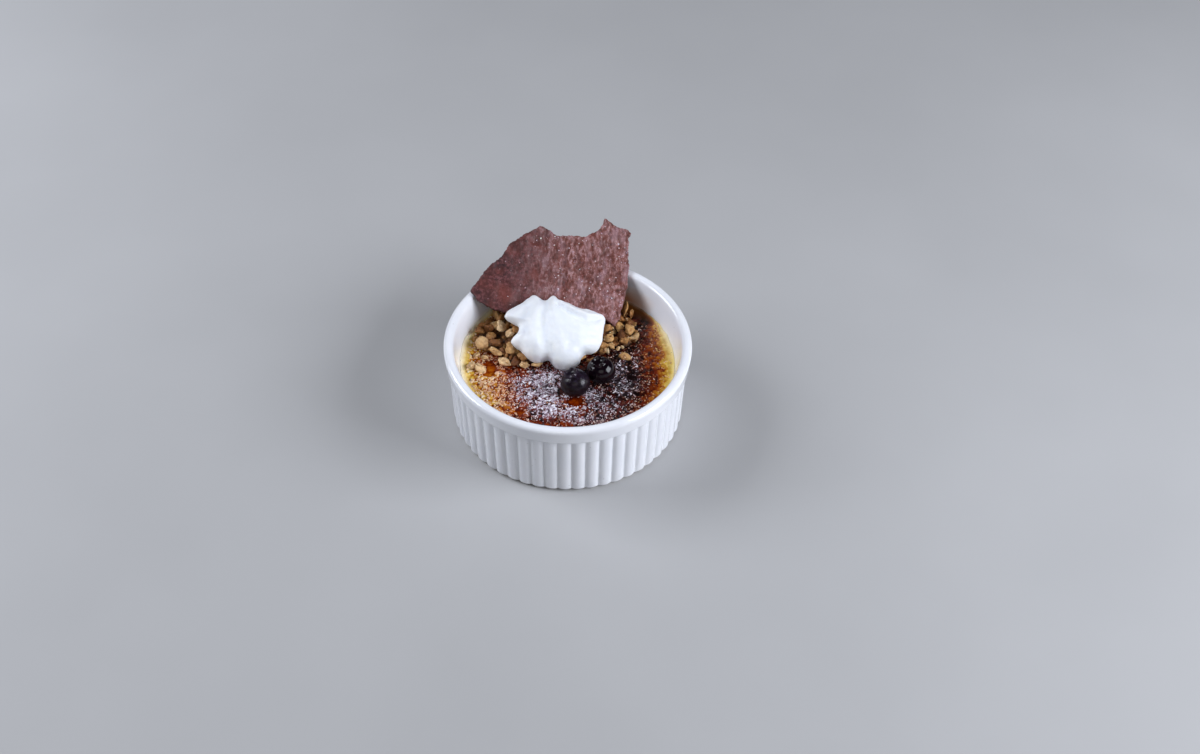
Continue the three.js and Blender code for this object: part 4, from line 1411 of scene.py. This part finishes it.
def net_inside(outline, spacing):
    """An even net of triangles inside an outline."""
    low, high = outline.min(0), outline.max(0)
    rows = np.arange(low[1], high[1], spacing * 0.87)  # as in a honeycomb
    inner = []
    for number, y in enumerate(rows):
        for x in np.arange(low[0] + (number % 2) * spacing / 2, high[0], spacing):
            inner.append((x, y))
    inner = np.array(inner)
    inner = inner[inside_outline(inner, outline, 0.6 * spacing)]
    every = np.vstack([outline, inner])
    count = len(outline)
    edges = [(i, (i + 1) % count) for i in range(count)]
    made = geometry.delaunay_2d_cdt([Vector(p) for p in every.tolist()], edges, [], 1, 1e-6)
    points = np.array([tuple(p) for p in made[0]])
    return points, np.array([list(face) for face in made[2]])


# %% Tuile mesh
RIDGE_STRETCH = 0.38  # below 1, so that ridges run on up the slope


def tuile_detail(x, y):
    """Ridges that run up the slope with small pebbles, and the ridges alone."""
    ridges = layered_noise(on_plane(x, y * RIDGE_STRETCH), 2.1, 101, 3, 0.6)
    pebbles = layered_noise(on_plane(x, y), 0.95, 111, 2)
    smoother_left = 0.35 + 0.65 * smooth_step(-22, -6, x)
    flatter_at_rim = 0.4 + 0.6 * free_of_rim(x, y)
    return (0.50 * ridges + 0.22 * pebbles) * smoother_left * flatter_at_rim, ridges


def make_tuile():
    points, triangles = net_inside(torn_outline(), NET_SPACING)
    x, y = points[:, 0], points[:, 1]
    detail, ridges = tuile_detail(x, y)
    wave = tuile_wave(x, y)
    own_ridges = layered_noise(on_plane(x, y * RIDGE_STRETCH), 1.3, 121, 2)
    upper = tuile_world(x, y, wave + detail)
    lower = tuile_world(x, y, wave - TUILE_THICKNESS + (0.5 * detail + 0.08 * own_ridges))
    body, faces = sheet_shell(upper, lower, triangles)
    piece = new_piece("tuile_shard", body, faces, ["chocolate_tuile"])
    paint(piece, "ridge", np.concatenate([ridges, ridges * 0.6]))
    paint(piece, "across", np.concatenate([x, x]) / 30)
    blister = spot(x, y, (-21.6, -12.2), 3.8, 3.2)
    paint(piece, "blister", np.concatenate([blister, 0 * blister]))
    return piece


tuile = make_tuile()

# %% [markdown]
# ## Baked chocolate
# Cocoa batter bakes to a dull dark brown, with paler crests where flour and sugar dried
# out; the paler crests on the right are also painted highlight, and the darker hollows are
# painted shade. On this shard the left side is dark, partly from less dust and partly as
# painted shade where it turns away from the stronger light, and the right side pale and
# dusty, and a red-brown patch lies on the blister. One noise would look like marble, so
# several of different size are laid over each other, and the painted ridges say where the
# crests and hollows are.

# %% Chocolate finish
def chocolate_finish():
    finish = Finish("baked_chocolate", Roughness=0.5, IOR=1.46)
    # The left side gets the dark ramp: partly less sugar dust, partly painted shade where the
    # shard turns away from the stronger light.
    side = finish.between(finish.painted("across"), -0.75, 0.15)
    dark = finish.ramp(
        finish.noise(1.3, 4, 0.7),
        [(0.36, srgb(44, 20, 22)), (0.50, srgb(74, 35, 35)), (0.64, srgb(112, 66, 68))],
    )
    light = finish.ramp(
        finish.noise(1.25, 4, 0.75, (1.0, 0.5, 0.6)),
        [(0.34, srgb(70, 30, 24)), (0.50, srgb(119, 67, 58)), (0.65, srgb(174, 134, 135))],
    )
    colour = finish.blend(side, dark, light)
    patches = finish.between(finish.noise(7.0, 2), 0.50, 0.66)
    colour = finish.blend(finish.times(patches, 0.30), colour, srgb(126, 56, 44))
    dusty = finish.between(finish.noise(5.0, 3, 0.6, (1.0, 0.6, 0.7)), 0.52, 0.66)
    dusty = finish.times(finish.times(dusty, side), 0.35)
    colour = finish.blend(dusty, colour, srgb(160, 130, 140))
    # Paler crests on the right: partly dried flour and sugar, partly painted highlight.
    crest = finish.between(finish.painted("ridge"), 0.0, 0.55)
    crest = finish.times(crest, finish.times(side, 0.32))
    colour = finish.blend(crest, colour, srgb(166, 132, 136))
    # Darker hollows between the ridges: painted shade.
    hollow = finish.between(finish.painted("ridge"), -0.1, -0.5)
    colour = finish.blend(finish.times(hollow, 0.50), colour, srgb(70, 30, 24))
    red = finish.times(finish.painted("blister"), 0.40)
    colour = finish.blend(red, colour, srgb(136, 62, 48))
    fine = finish.relief(finish.noise(0.45, 3, 0.6), 0.14)
    return finish.set(Base_Color=colour, Normal=fine)


dress(tuile, chocolate_finish())

# %% [markdown]
# ## Sugar on the tuile
# Coarse sugar was strewn on the batter and stayed whole in the oven, thicker on the right.
# It catches the light as small glints. A glossy finish alone would shine everywhere, so the
# grains are real lumps that stand on the same waves and ridges as the shard.

# %% Sugar on the tuile
SUGAR_TRIES = 2400  # places tried, of which chance keeps some


def make_tuile_sugar():
    random = np.random.default_rng(53)
    outline = np.array(TUILE_OUTLINE)
    low, high = outline.min(0), outline.max(0)
    x = random.uniform(low[0], high[0], SUGAR_TRIES)
    y = random.uniform(low[1], high[1], SUGAR_TRIES)
    flat = on_plane(x, y)
    patches = smooth_step(-0.25, 0.45, layered_noise(flat, 5.0, 57, 2))
    chance = (0.07 + 0.46 * smooth_step(-18, 2, x)) * (0.20 + 0.80 * patches)
    kept = random.uniform(0, 1, len(x)) < chance
    kept &= inside_outline(flat[:, :2], outline, 0.8)
    x, y = x[kept], y[kept]
    height = tuile_wave(x, y) + tuile_detail(x, y)[0] + 0.03
    size = 0.12 + 0.24 * random.uniform(0, 1, len(x)) ** 2.4
    stretch = random.uniform(1.0, 1.6, len(x))
    places = tuile_world(x, y, height)
    own = random.uniform(0, 1, len(x))
    return small_lumps("tuile_sugar", "chocolate", places, size, stretch, random, own=own)


tuile_sugar = make_tuile_sugar()


# %% Sugar glints
def glint_finish():
    finish = Finish("coarse_sugar", Roughness=0.25, IOR=1.5)
    finish.set(Subsurface_Weight=0.3, Subsurface_Scale=0.0006)
    colour = finish.ramp(
        finish.painted("own"),
        [(0.0, srgb(150, 116, 122)), (0.7, srgb(196, 170, 178)), (1.0, srgb(246, 240, 246))],
    )
    return finish.set(Base_Color=colour)


dress(tuile_sugar, glint_finish())

# %% [markdown]
# ## The stones of the crumble
# Now the nuts themselves. A real heap could be dropped in by a physics run, but then no nut
# would lie where it should. So the placed nuts come first and the spiral fills in between
# them, and a stone is skipped where it would crowd another or where the cream or the shard
# lies. One nut is a whole kernel, and smaller crumbs of each nut cling to its upper side.

# %% Nut meshes
STONE_ROUNDNESS = 22  # more gives sharper edges between the cut faces
STONE_CUTS = 9


def turned(points, tilt_x, tilt_y, turn):
    """Points turned about X, then Y, then Z, in radians."""
    turn_all = Matrix.Rotation(turn, 3, "Z") @ Matrix.Rotation(tilt_y, 3, "Y")
    turn_all = np.array(turn_all @ Matrix.Rotation(tilt_x, 3, "X"))
    return points @ turn_all.T


def cut_stone(directions, semi, cuts, random):
    """A ball cut by random planes, with rounded edges. semi holds its three half lengths."""
    normals = random.normal(size=(cuts, 3))
    normals /= np.linalg.norm(normals, axis=1)[:, None]
    depths = random.uniform(0.42, 0.85, cuts)
    facing = np.clip(directions @ normals.T, 1e-3, None) / depths
    pressure = (facing**STONE_ROUNDNESS).sum(1) + 1.0
    radius = pressure ** (-1 / STONE_ROUNDNESS)
    stone = directions * radius[:, None]
    stone /= np.abs(stone).max(0)
    return stone * semi


class Stones:
    """Collects many small stones into one mesh, with numbers painted on each."""

    def __init__(self):
        self.points, self.faces, self.paints, self.count = [], [], {}, 0

    def add(self, points, faces, **paints):
        self.points.append(points)
        self.faces.append(faces + self.count)
        for name, values in paints.items():
            self.paints.setdefault(name, []).append(np.broadcast_to(values, len(points)))
        self.count += len(points)

    def joined(self, name, replaced):
        piece = new_piece(name, np.vstack(self.points), np.vstack(self.faces), replaced)
        for paint_name, values in self.paints.items():
            paint(piece, paint_name, np.concatenate(values))
        return piece


def covered(x, y, z, slack):
    """True where the cream or the shard is in the way of a stone."""
    lean = np.array([x, y, z]) - CREAM_CENTRE
    cos, sin = math.cos(CREAM_TILT), math.sin(CREAM_TILT)
    plane_x, plane_y = lean[0], lean[1] * cos + lean[2] * sin
    height = lean[2] * cos - lean[1] * sin
    edge = float(cream_radius(np.array(math.atan2(plane_y, plane_x))))
    if math.hypot(plane_x, plane_y) < edge - 1.2 + slack and height > -3.0:
        return True
    over_x, over_y, over = tuile_plane(np.array([x, y, z]))
    inside = over_y > TUILE_LOWER_EDGE - slack and -30 < over_x < 26 + slack
    return bool(inside and over > -TUILE_THICKNESS - slack - 0.3)


# %% Nuts that fill the heap
# Two rounds of a spiral over each mound: half width from and to, distance from the nuts
# that already lie there as a share of both widths, and area for each nut.
SPIRAL_ROUNDS = [((1.4, 2.2), 0.56, 2.0), ((0.8, 1.3), 0.48, 1.3)]
GOLDEN_ANGLE = math.pi * (3 - math.sqrt(5))


def within_any(x, y, circles):
    """True where a place lies within one of the circles: x, y, radius."""
    return any(math.hypot(x - circle_x, y - circle_y) < r for circle_x, circle_y, r in circles)


def heap_places(random):
    """The placed nuts, then a spiral of smaller ones over each mound: where each lies, its
    half lengths, its turn in degrees and its tone."""
    places = [
        (x, y, NUT_FLOOR + lift, semi, turn, tone)
        for x, y, lift, semi, turn, tone in SHOWING_NUTS
    ]
    for x, y, semi, turn, tone in STRAY_NUTS:
        places.append((x, y, float(crust_level(x, y)) + 0.75 * semi[2], semi, turn, tone))
    placed = [(x, y, semi[0]) for x, y, _, semi, _, _ in places]
    for sizes, closeness, area in SPIRAL_ROUNDS:
        for mound_x, mound_y, half_x, half_y, _ in MOUNDS:
            count = round(half_x * half_y / area)
            for i in range(count):
                out = math.sqrt((i + 0.5) / count) * 1.02
                angle = i * GOLDEN_ANGLE + mound_x
                x = mound_x + out * half_x * math.cos(angle) + random.normal() * 0.3
                y = mound_y + out * half_y * math.sin(angle) + random.normal() * 0.3
                size = random.uniform(*sizes)
                semi = (size * 1.35, size, size * random.uniform(0.6, 0.95))
                z = NUT_FLOOR - 0.3 + float(mound_height(x, y)) + 0.45 * semi[2]
                near = [(px, py, closeness * (semi[0] + width)) for px, py, width in placed]
                if (
                    within_any(x, y, near)
                    or within_any(x, y, HEAP_HOLES)
                    or math.hypot(x, y) > LEVEL_RADIUS - size - 0.3
                    or covered(x, y, z, size)
                ):
                    continue
                placed.append((x, y, semi[0]))
                tone = random.uniform(0, 1) ** 1.3
                places.append((x, y, z, semi, random.uniform(0, 360), tone))
    return places


# %% Nuts and their crumbs
def nut_stone(number, semi, turn, by_hand, directions, random):
    """One turned stone, and the lumps on it. The first nut is the whole kernel."""
    whole = number == 0
    stone = cut_stone(directions, semi, 0 if whole else STONE_CUTS, random)
    lumps = layered_noise(stone + number * 7.0, 1.5, 131, 3, 0.6)
    rough = layered_noise(stone + number * 5.0, 0.65, 137, 2)
    uneven = (0.04 if whole else 0.22) * lumps + (0.01 if whole else 0.05) * rough
    stone = stone * (1 + uneven)[:, None]
    tilt = 0.1 if whole else 0.26 if by_hand else 0.4
    stone = turned(stone, random.normal() * tilt, random.normal() * tilt, math.radians(turn))
    return stone, lumps


def add_crumbs(stones, stone, height, count, tone, random):
    """Crumbs of the same nut on its upper side."""
    tiny, tiny_faces = ball(0)
    upper = np.flatnonzero(stone[:, 2] > height + 0.1)
    for corner in random.choice(upper, count):
        crumb = tiny * random.uniform(0.7, 1.3, (len(tiny), 1)) * random.uniform(0.15, 0.45)
        shade = float(np.clip(tone + random.uniform(-0.4, 0.35), 0, 1))
        crumb = crumb + stone[corner]
        stones.add(crumb, tiny_faces, own=shade, skin=0.0, deep=0.0, hollow=0.0)


def make_nuts():
    random = np.random.default_rng(12)
    fine, plain = ball(3), ball(2)
    stones = Stones()
    last_by_hand = len(SHOWING_NUTS) + len(STRAY_NUTS)
    for number, (x, y, z, semi, turn, tone) in enumerate(heap_places(random)):
        whole = number == 0
        by_hand = number < last_by_hand
        stray = by_hand and number >= len(SHOWING_NUTS)
        directions, faces = fine if by_hand or semi[1] > 1.9 else plain
        stone, lumps = nut_stone(number, semi, turn, by_hand, directions, random)
        skin_side = random.normal(size=3)
        skin_side /= np.linalg.norm(skin_side)
        has_skin = random.uniform() < 0.55 and tone < 0.9 and not whole
        skin = smooth_step(0.30, 0.55, directions @ skin_side) * has_skin
        stone = stone + (x, y, z)
        top = NUT_FLOOR + float(mound_height(x, y)) + 0.6
        # Lower in the heap the stones are painted darker: partly soaked caramel, partly painted
        # shade.
        deep = smooth_step(top, top - 3.0, stone[:, 2]) * (not stray)
        hollow = smooth_step(0.05, -0.45, lumps)
        stones.add(stone, faces, own=tone, skin=skin, deep=deep, hollow=hollow)
        add_crumbs(stones, stone, z, 1 if whole else 10 if by_hand else 5, tone, random)
    print(len(stones.points), "nuts and crumbs")
    return stones.joined("chopped_nuts", ["nut_crumble"])


nuts = make_nuts()

# %% [markdown]
# ## Inside the heap
# Between the nuts the eye meets only shade. To fill the heap with stones down to the
# crust would cost many faces that nobody sees. A low bumpy body under them does the same: a
# grid over the mounds, kept where they rise, with a flat underside sunk in the custard. Its
# dark brown is painted shade over the colour of crumbs.

# %% Nut core
CORE_STEP = 0.6
CORE_SINK = 0.75  # below the mounds' surface, so that the stones stand out of it


def make_nut_core():
    grid_x, grid_y = np.arange(-41, 31, CORE_STEP), np.arange(-6, 30, CORE_STEP)
    x, y = np.meshgrid(grid_x, grid_y, indexing="ij")
    rise = mound_height(x, y) - CORE_SINK
    keep = (rise > 0) & (np.hypot(x, y) < LEVEL_RADIUS - 2.0)
    number = np.where(keep, np.cumsum(keep.ravel()).reshape(keep.shape) - 1, -1)
    corners = np.stack([number[:-1, :-1], number[1:, :-1], number[1:, 1:], number[:-1, 1:]], -1)
    quads = corners[(corners >= 0).all(-1)]
    used, quads = np.unique(quads, return_inverse=True)
    quads = quads.reshape(-1, 4)
    x, y, rise = x[keep][used], y[keep][used], rise[keep][used]
    bumps = 0.7 * layered_noise(on_plane(x, y), 1.9, 141, 2)
    upper = np.column_stack([x, y, CUSTARD_LEVEL + 0.1 + rise + bumps * np.clip(rise, 0, 1)])
    lower = np.column_stack([x, y, np.full(len(x), CUSTARD_LEVEL - 1.4)])
    triangles = np.vstack([quads[:, [0, 1, 2]], quads[:, [0, 2, 3]]])
    points, faces = sheet_shell(upper, lower, triangles)
    return new_piece("nut_heap_core", points, faces, ["nut_crumble"])


nut_core = make_nut_core()

# %% [markdown]
# ## Roasted nuts
# A cut nut is pale inside and turned brown where it met the oven, with scraps of dark skin on
# one side. Each stone has its own tone, painted on it, so the ramp runs from brown to cream
# between stones and not across them. The dents of each stone are darker, as painted shade.
# Low in the heap the nuts are darker: partly caramel they soaked up, partly painted shade
# of the heap above them.

# %% Nut finishes
def nut_finish():
    finish = Finish("roasted_nut", Roughness=0.6, IOR=1.42)
    finish.set(Subsurface_Weight=0.12, Subsurface_Scale=0.0012)
    finish.set(Subsurface_Radius=(1.0, 0.6, 0.3))
    own = finish.painted("own")
    cut_face = finish.ramp(
        own,
        [
            (0.0, srgb(100, 56, 24)),
            (0.3, srgb(154, 102, 52)),
            (0.7, srgb(206, 160, 100)),
            (1.0, srgb(246, 214, 168)),
        ],
    )
    mottle = finish.ramp(finish.noise(1.5, 3, 0.6), [(0.36, grey(0.70)), (0.58, grey(1.0))])
    cut_face = finish.blend(1.0, cut_face, mottle, "MULTIPLY")
    # The dents of each stone are darkened: painted shade.
    hollow_shade = finish.times(finish.painted("hollow"), 0.5)
    cut_face = finish.blend(hollow_shade, cut_face, srgb(132, 78, 34))
    skin = finish.blend(own, srgb(112, 64, 28), srgb(160, 104, 54))
    worn = finish.between(finish.noise(0.8, 3, 0.6), 0.62, 0.40)
    colour = finish.blend(finish.times(finish.painted("skin"), worn), cut_face, skin)
    # Darker low in the heap: partly soaked caramel, partly painted shade.
    soaked = finish.times(finish.painted("deep"), 0.6)
    colour = finish.blend(soaked, colour, srgb(72, 38, 18))
    bumps = finish.relief(finish.noise(0.5, 3, 0.6), 0.10)
    return finish.set(Base_Color=colour, Normal=bumps)


def core_finish():
    finish = Finish("painted_shade_between_nuts", Roughness=0.7)
    # Dark brown, mostly painted shade of the deep heap.
    tone = finish.ramp(finish.noise(1.4, 3), [(0.38, srgb(52, 28, 13)), (0.62, srgb(140, 92, 50))])
    return finish.set(Base_Color=tone, Normal=finish.relief(finish.noise(0.7, 3), 0.2))


dress(nuts, nut_finish())
dress(nut_core, core_finish())

# %% [markdown]
# ## Blueberries
# A blueberry is a little flattened, with the crown of its flower standing round a dimple.
# Its skin is nearly black, with a pale waxy bloom that rubs off. A ready-made ball would lose
# the crown, so the skin is turned from a profile and the crown pulled up into five lobes.
# The front berry is dusty, and the back one clean and wetter.

# %% Berries
BERRY_FLATTENING = 0.93
BERRY_COLUMNS = 120
BERRY_SINK = 0.35  # the berries lie in the crust by this much
# Radius, centre, and the direction that the crown looks in.
BERRIES = {
    "berry_front": (5.75, (3.2, -15.9, 29.45), (-0.35, 0.2, 0.92)),
    "berry_back": (5.65, (13.0, -8.8, 29.3), (-0.22, 0.05, 0.97)),
}


def berry_rows(radius):
    """Rings of the skin from the dimple down: radius, height, and if it's in the crown."""
    length = radius * BERRY_FLATTENING
    crown = 0.42 * radius
    profile = [(0.04, 0.76), (0.35, 0.755), (0.62, 0.79), (0.8, 0.87), (0.9, 0.95)]
    profile += [(0.98, 1.0), (1.06, 0.985), (1.14, 0.95), (1.24, 0.925)]
    rows = [(share * crown, height * length, height > 0.86) for share, height in profile]
    for latitude in np.linspace(57, -88, 54):
        turn = math.radians(latitude)
        rows.append((radius * math.cos(turn), length * math.sin(turn), False))
    return rows, crown


def make_berry(node, seed):
    radius, centre, calyx = BERRIES[node]
    rows, crown = berry_rows(radius)
    columns = BERRY_COLUMNS
    angle = np.arange(columns) * TAU / columns
    lobes = 0.5 + 0.5 * np.cos(5 * angle + seed)
    grid = np.zeros((len(rows), columns, 3))
    for row, (ring, height, raised) in enumerate(rows):
        lobed = raised and ring < 1.2 * crown
        lift = (lobes - 0.45) * 0.55 if lobed else 0
        flare = 1 + (0.16 * (lobes - 0.5) if lobed else 0)
        grid[row, :, 0] = ring * flare * np.cos(angle)
        grid[row, :, 1] = ring * flare * np.sin(angle)
        grid[row, :, 2] = height + lift
    dents = 1 + 0.018 * layered_noise(grid, 4.5, seed, 2) + 0.004 * soft_noise(grid, 0.9, seed)
    grid = grid * dents[..., None]
    aim = Vector(calyx).normalized().to_track_quat("Z", "Y").to_matrix()
    grid = grid @ np.array(aim).T + np.array(centre) - (0, 0, BERRY_SINK)
    points, faces = pole_skin(grid)
    piece = new_piece(node + "_skin", points, faces, [node])
    in_crown = np.repeat([raised for _, _, raised in rows], columns)
    paint(piece, "crown", np.concatenate([in_crown, [0, 0]]))
    return piece


berry_front = make_berry("berry_front", 7)
berry_back = make_berry("berry_back", 8)


# %% Berry finish
def berry_finish(name, wetness, pore_depth, dustiness, shine):
    """Dark skin with its bloom on the upper side and on the crown, under a wet coat."""
    finish = Finish(name, IOR=1.3, Specular_IOR_Level=shine)
    finish.set(Coat_Weight=wetness, Coat_Roughness=0.05, Coat_IOR=1.45)
    skin = finish.ramp(finish.noise(2.0, 3), [(0.3, srgb(8, 4, 9)), (0.7, srgb(24, 8, 16))])
    facing = finish.axes(finish.tree.nodes.new("ShaderNodeNewGeometry").outputs["Normal"])
    upward = finish.between(facing["Z"], -0.1, 0.9)
    patchy = finish.between(finish.noise(1.5, 4, 0.65), 0.46, 0.66)
    bloom = finish.times(finish.times(upward, patchy), dustiness)
    colour = finish.blend(bloom, skin, srgb(70, 62, 88))
    crown = finish.painted("crown")
    colour = finish.blend(finish.times(crown, dustiness), colour, srgb(74, 62, 74))
    roughness = finish.plus(0.50, finish.times(bloom, 0.9))
    roughness = finish.plus(roughness, finish.times(crown, 0.3))
    pores = finish.relief(finish.noise(0.7, 3, 0.6), pore_depth)
    return finish.set(Base_Color=colour, Roughness=roughness, Normal=pores, Coat_Normal=pores)


dusty = berry_finish("dusty_berry_skin", wetness=0.55, pore_depth=0.11, dustiness=0.26, shine=0.11)
wet = berry_finish("wet_berry_skin", wetness=0.62, pore_depth=0.04, dustiness=0.0, shine=0.0)
dress(berry_front, dusty)
dress(berry_back, wet)

# %% [markdown]
# ## Half-melted crystals
# Under a flame not every crystal of sugar melts. Many stay as small glassy grains, pale and
# peach-coloured at the edge and darker where the flame stayed longer. Their pale colour is
# partly their own and partly painted highlight, as light glints on the grains. A particle
# system would scatter them in heaps and holes. Here the crust is laid out in small squares,
# and each square holds one grain or none, so the grains keep their distance. Each one asks
# the crust how high it stands and how burnt it is.

# %% Strewing
HEAP_CLEARANCE = 0.6  # nothing is strewn where the nut mounds are higher than this


def strewn(seed, spacing, chance):
    """Places on the open crust: one or none for each small square, picked by chance."""
    random = np.random.default_rng(seed)
    half = int(LEVEL_RADIUS / spacing) + 1
    steps = np.arange(-half, half + 1)
    column, row = [axis.ravel() for axis in np.meshgrid(steps, steps)]
    x = (column + 0.5 * (row % 2) + random.uniform(-0.4, 0.4, len(row))) * spacing
    y = (row + random.uniform(-0.4, 0.4, len(row))) * spacing
    clear = (np.hypot(x, y) < LEVEL_RADIUS - 0.8) & (mound_height(x, y) < HEAP_CLEARANCE)
    kept = clear & (random.uniform(0, 1, len(x)) < chance(x, y))
    return random, x[kept], y[kept]


# %% Crystals
CRYSTAL_SPACING = 1.00


def crystal_chance(x, y):
    """Whole grains are rarer where it is more burnt, glassy or dusted, and in bare custard."""
    _, glassy, _ = crust_grain(x, y)
    burn = burn_at(x, y)
    whole = 0.80 - 0.42 * smooth_step(0.5, 0.8, burn)
    # On the right the flame stayed longer, and few grains are left in the amber there.
    whole = whole * (1 - 0.6 * smooth_step(20, 30, x) * smooth_step(0.75, 0.55, burn))
    return smooth_step(0.10, 0.24, burn) * whole * (1 - glassy) * (1 - 0.7 * dust_at(x, y))


def make_crystals():
    random, x, y = strewn(37, CRYSTAL_SPACING, crystal_chance)
    height, _, _, _, burn = crust_surface(x, y)
    larger_left = 1 + 0.45 * smooth_step(-12, -28, x)
    size = (0.17 + 0.20 * random.uniform(0, 1, len(x))) * larger_left
    stretch = random.uniform(1.0, 2.2, len(x))
    places = np.column_stack([x, y, height + 0.2 * size])
    return small_lumps(
        "sugar_crystals", "caramel_custard", places, size, stretch, random,
        own=random.uniform(0, 1, len(x)), burn=burn, golden=smooth_step(12, 26, x),
    )


crystals = make_crystals()


# %% Crystal finish
def crystal_finish():
    finish = Finish("half_melted_sugar_and_highlights", Roughness=0.3, IOR=1.5)
    finish.set(Subsurface_Weight=0.3, Subsurface_Scale=0.0006)
    finish.set(Subsurface_Radius=(1.0, 0.6, 0.4))
    # Its own number moves a grain up or down the same scale of burning.
    shift = finish.times(finish.minus(finish.painted("own"), 0.5), 0.35)
    # Pale peach to brown: partly the grains' own colour, partly painted highlight on them.
    colour = finish.ramp(
        finish.plus(finish.painted("burn"), shift),
        [
            (0.05, srgb(252, 234, 198)),
            (0.30, srgb(238, 200, 154)),
            (0.50, srgb(210, 156, 122)),
            (0.70, srgb(160, 104, 80)),
            (0.90, srgb(104, 60, 50)),
        ],
    )
    golden = finish.painted("golden")
    colour = finish.blend(golden, colour, srgb(255, 244, 196), "MULTIPLY")
    return finish.set(Base_Color=colour)


dress(crystals, crystal_finish())

# %% [markdown]
# ## Powder sugar
# Sieved sugar lands in lumps of half a millimetre or less, and neighbours cling together in
# short chains, with the dark caramel between them. Each lump is stretched and turned its own
# way, so that some touch. Near the edge they soak up caramel and lose their white.

# %% Powder lumps
POWDER_SPACING = 0.64


def powder_chance(x, y):
    """The sugar rests on the tops of the grains, and little of it fell between them."""
    relief, _, _ = crust_grain(x, y)
    return dust_at(x, y) * (0.22 + 1.0 * smooth_step(0.26, 0.46, relief))


def make_powder():
    random, x, y = strewn(31, POWDER_SPACING, powder_chance)
    height, _, _, _, burn = crust_surface(x, y)
    cover = dust_at(x, y)
    thick = smooth_step(0.5, 0.9, cover)
    size = 0.15 + (0.16 + 0.16 * thick) * random.uniform(0, 1, len(x)) ** 1.3
    stretch = random.uniform(1.2, 3.0, len(x))
    places = np.column_stack([x, y, height + 0.25 * size])
    soaked = np.maximum(smooth_step(0.68, 0.48, burn), 0.8 * smooth_step(0.40, 0.12, cover))
    soaked = np.maximum(soaked, 0.85 * smooth_step(12.5, 6, wall_gap(x, y)))
    return small_lumps(
        "powder_sugar", "caramel_custard", places, size, stretch, random,
        own=random.uniform(0, 1, len(x)), soaked=soaked,
    )


powder = make_powder()


# %% Powder finish
def powder_finish():
    finish = Finish("icing_sugar", Roughness=0.75, IOR=1.5)
    finish.set(Subsurface_Weight=0.2, Subsurface_Scale=0.0006)
    finish.set(Subsurface_Radius=(1.0, 0.9, 0.9))
    dry = finish.ramp(
        finish.painted("own"),
        [(0.0, srgb(156, 138, 150)), (0.5, srgb(214, 202, 214)), (1.0, srgb(248, 246, 254))],
    )
    wet = finish.ramp(
        finish.painted("own"), [(0.0, srgb(190, 136, 112)), (1.0, srgb(242, 208, 184))]
    )
    return finish.set(Base_Color=finish.blend(finish.painted("soaked"), dry, wet))


dress(powder, powder_finish())
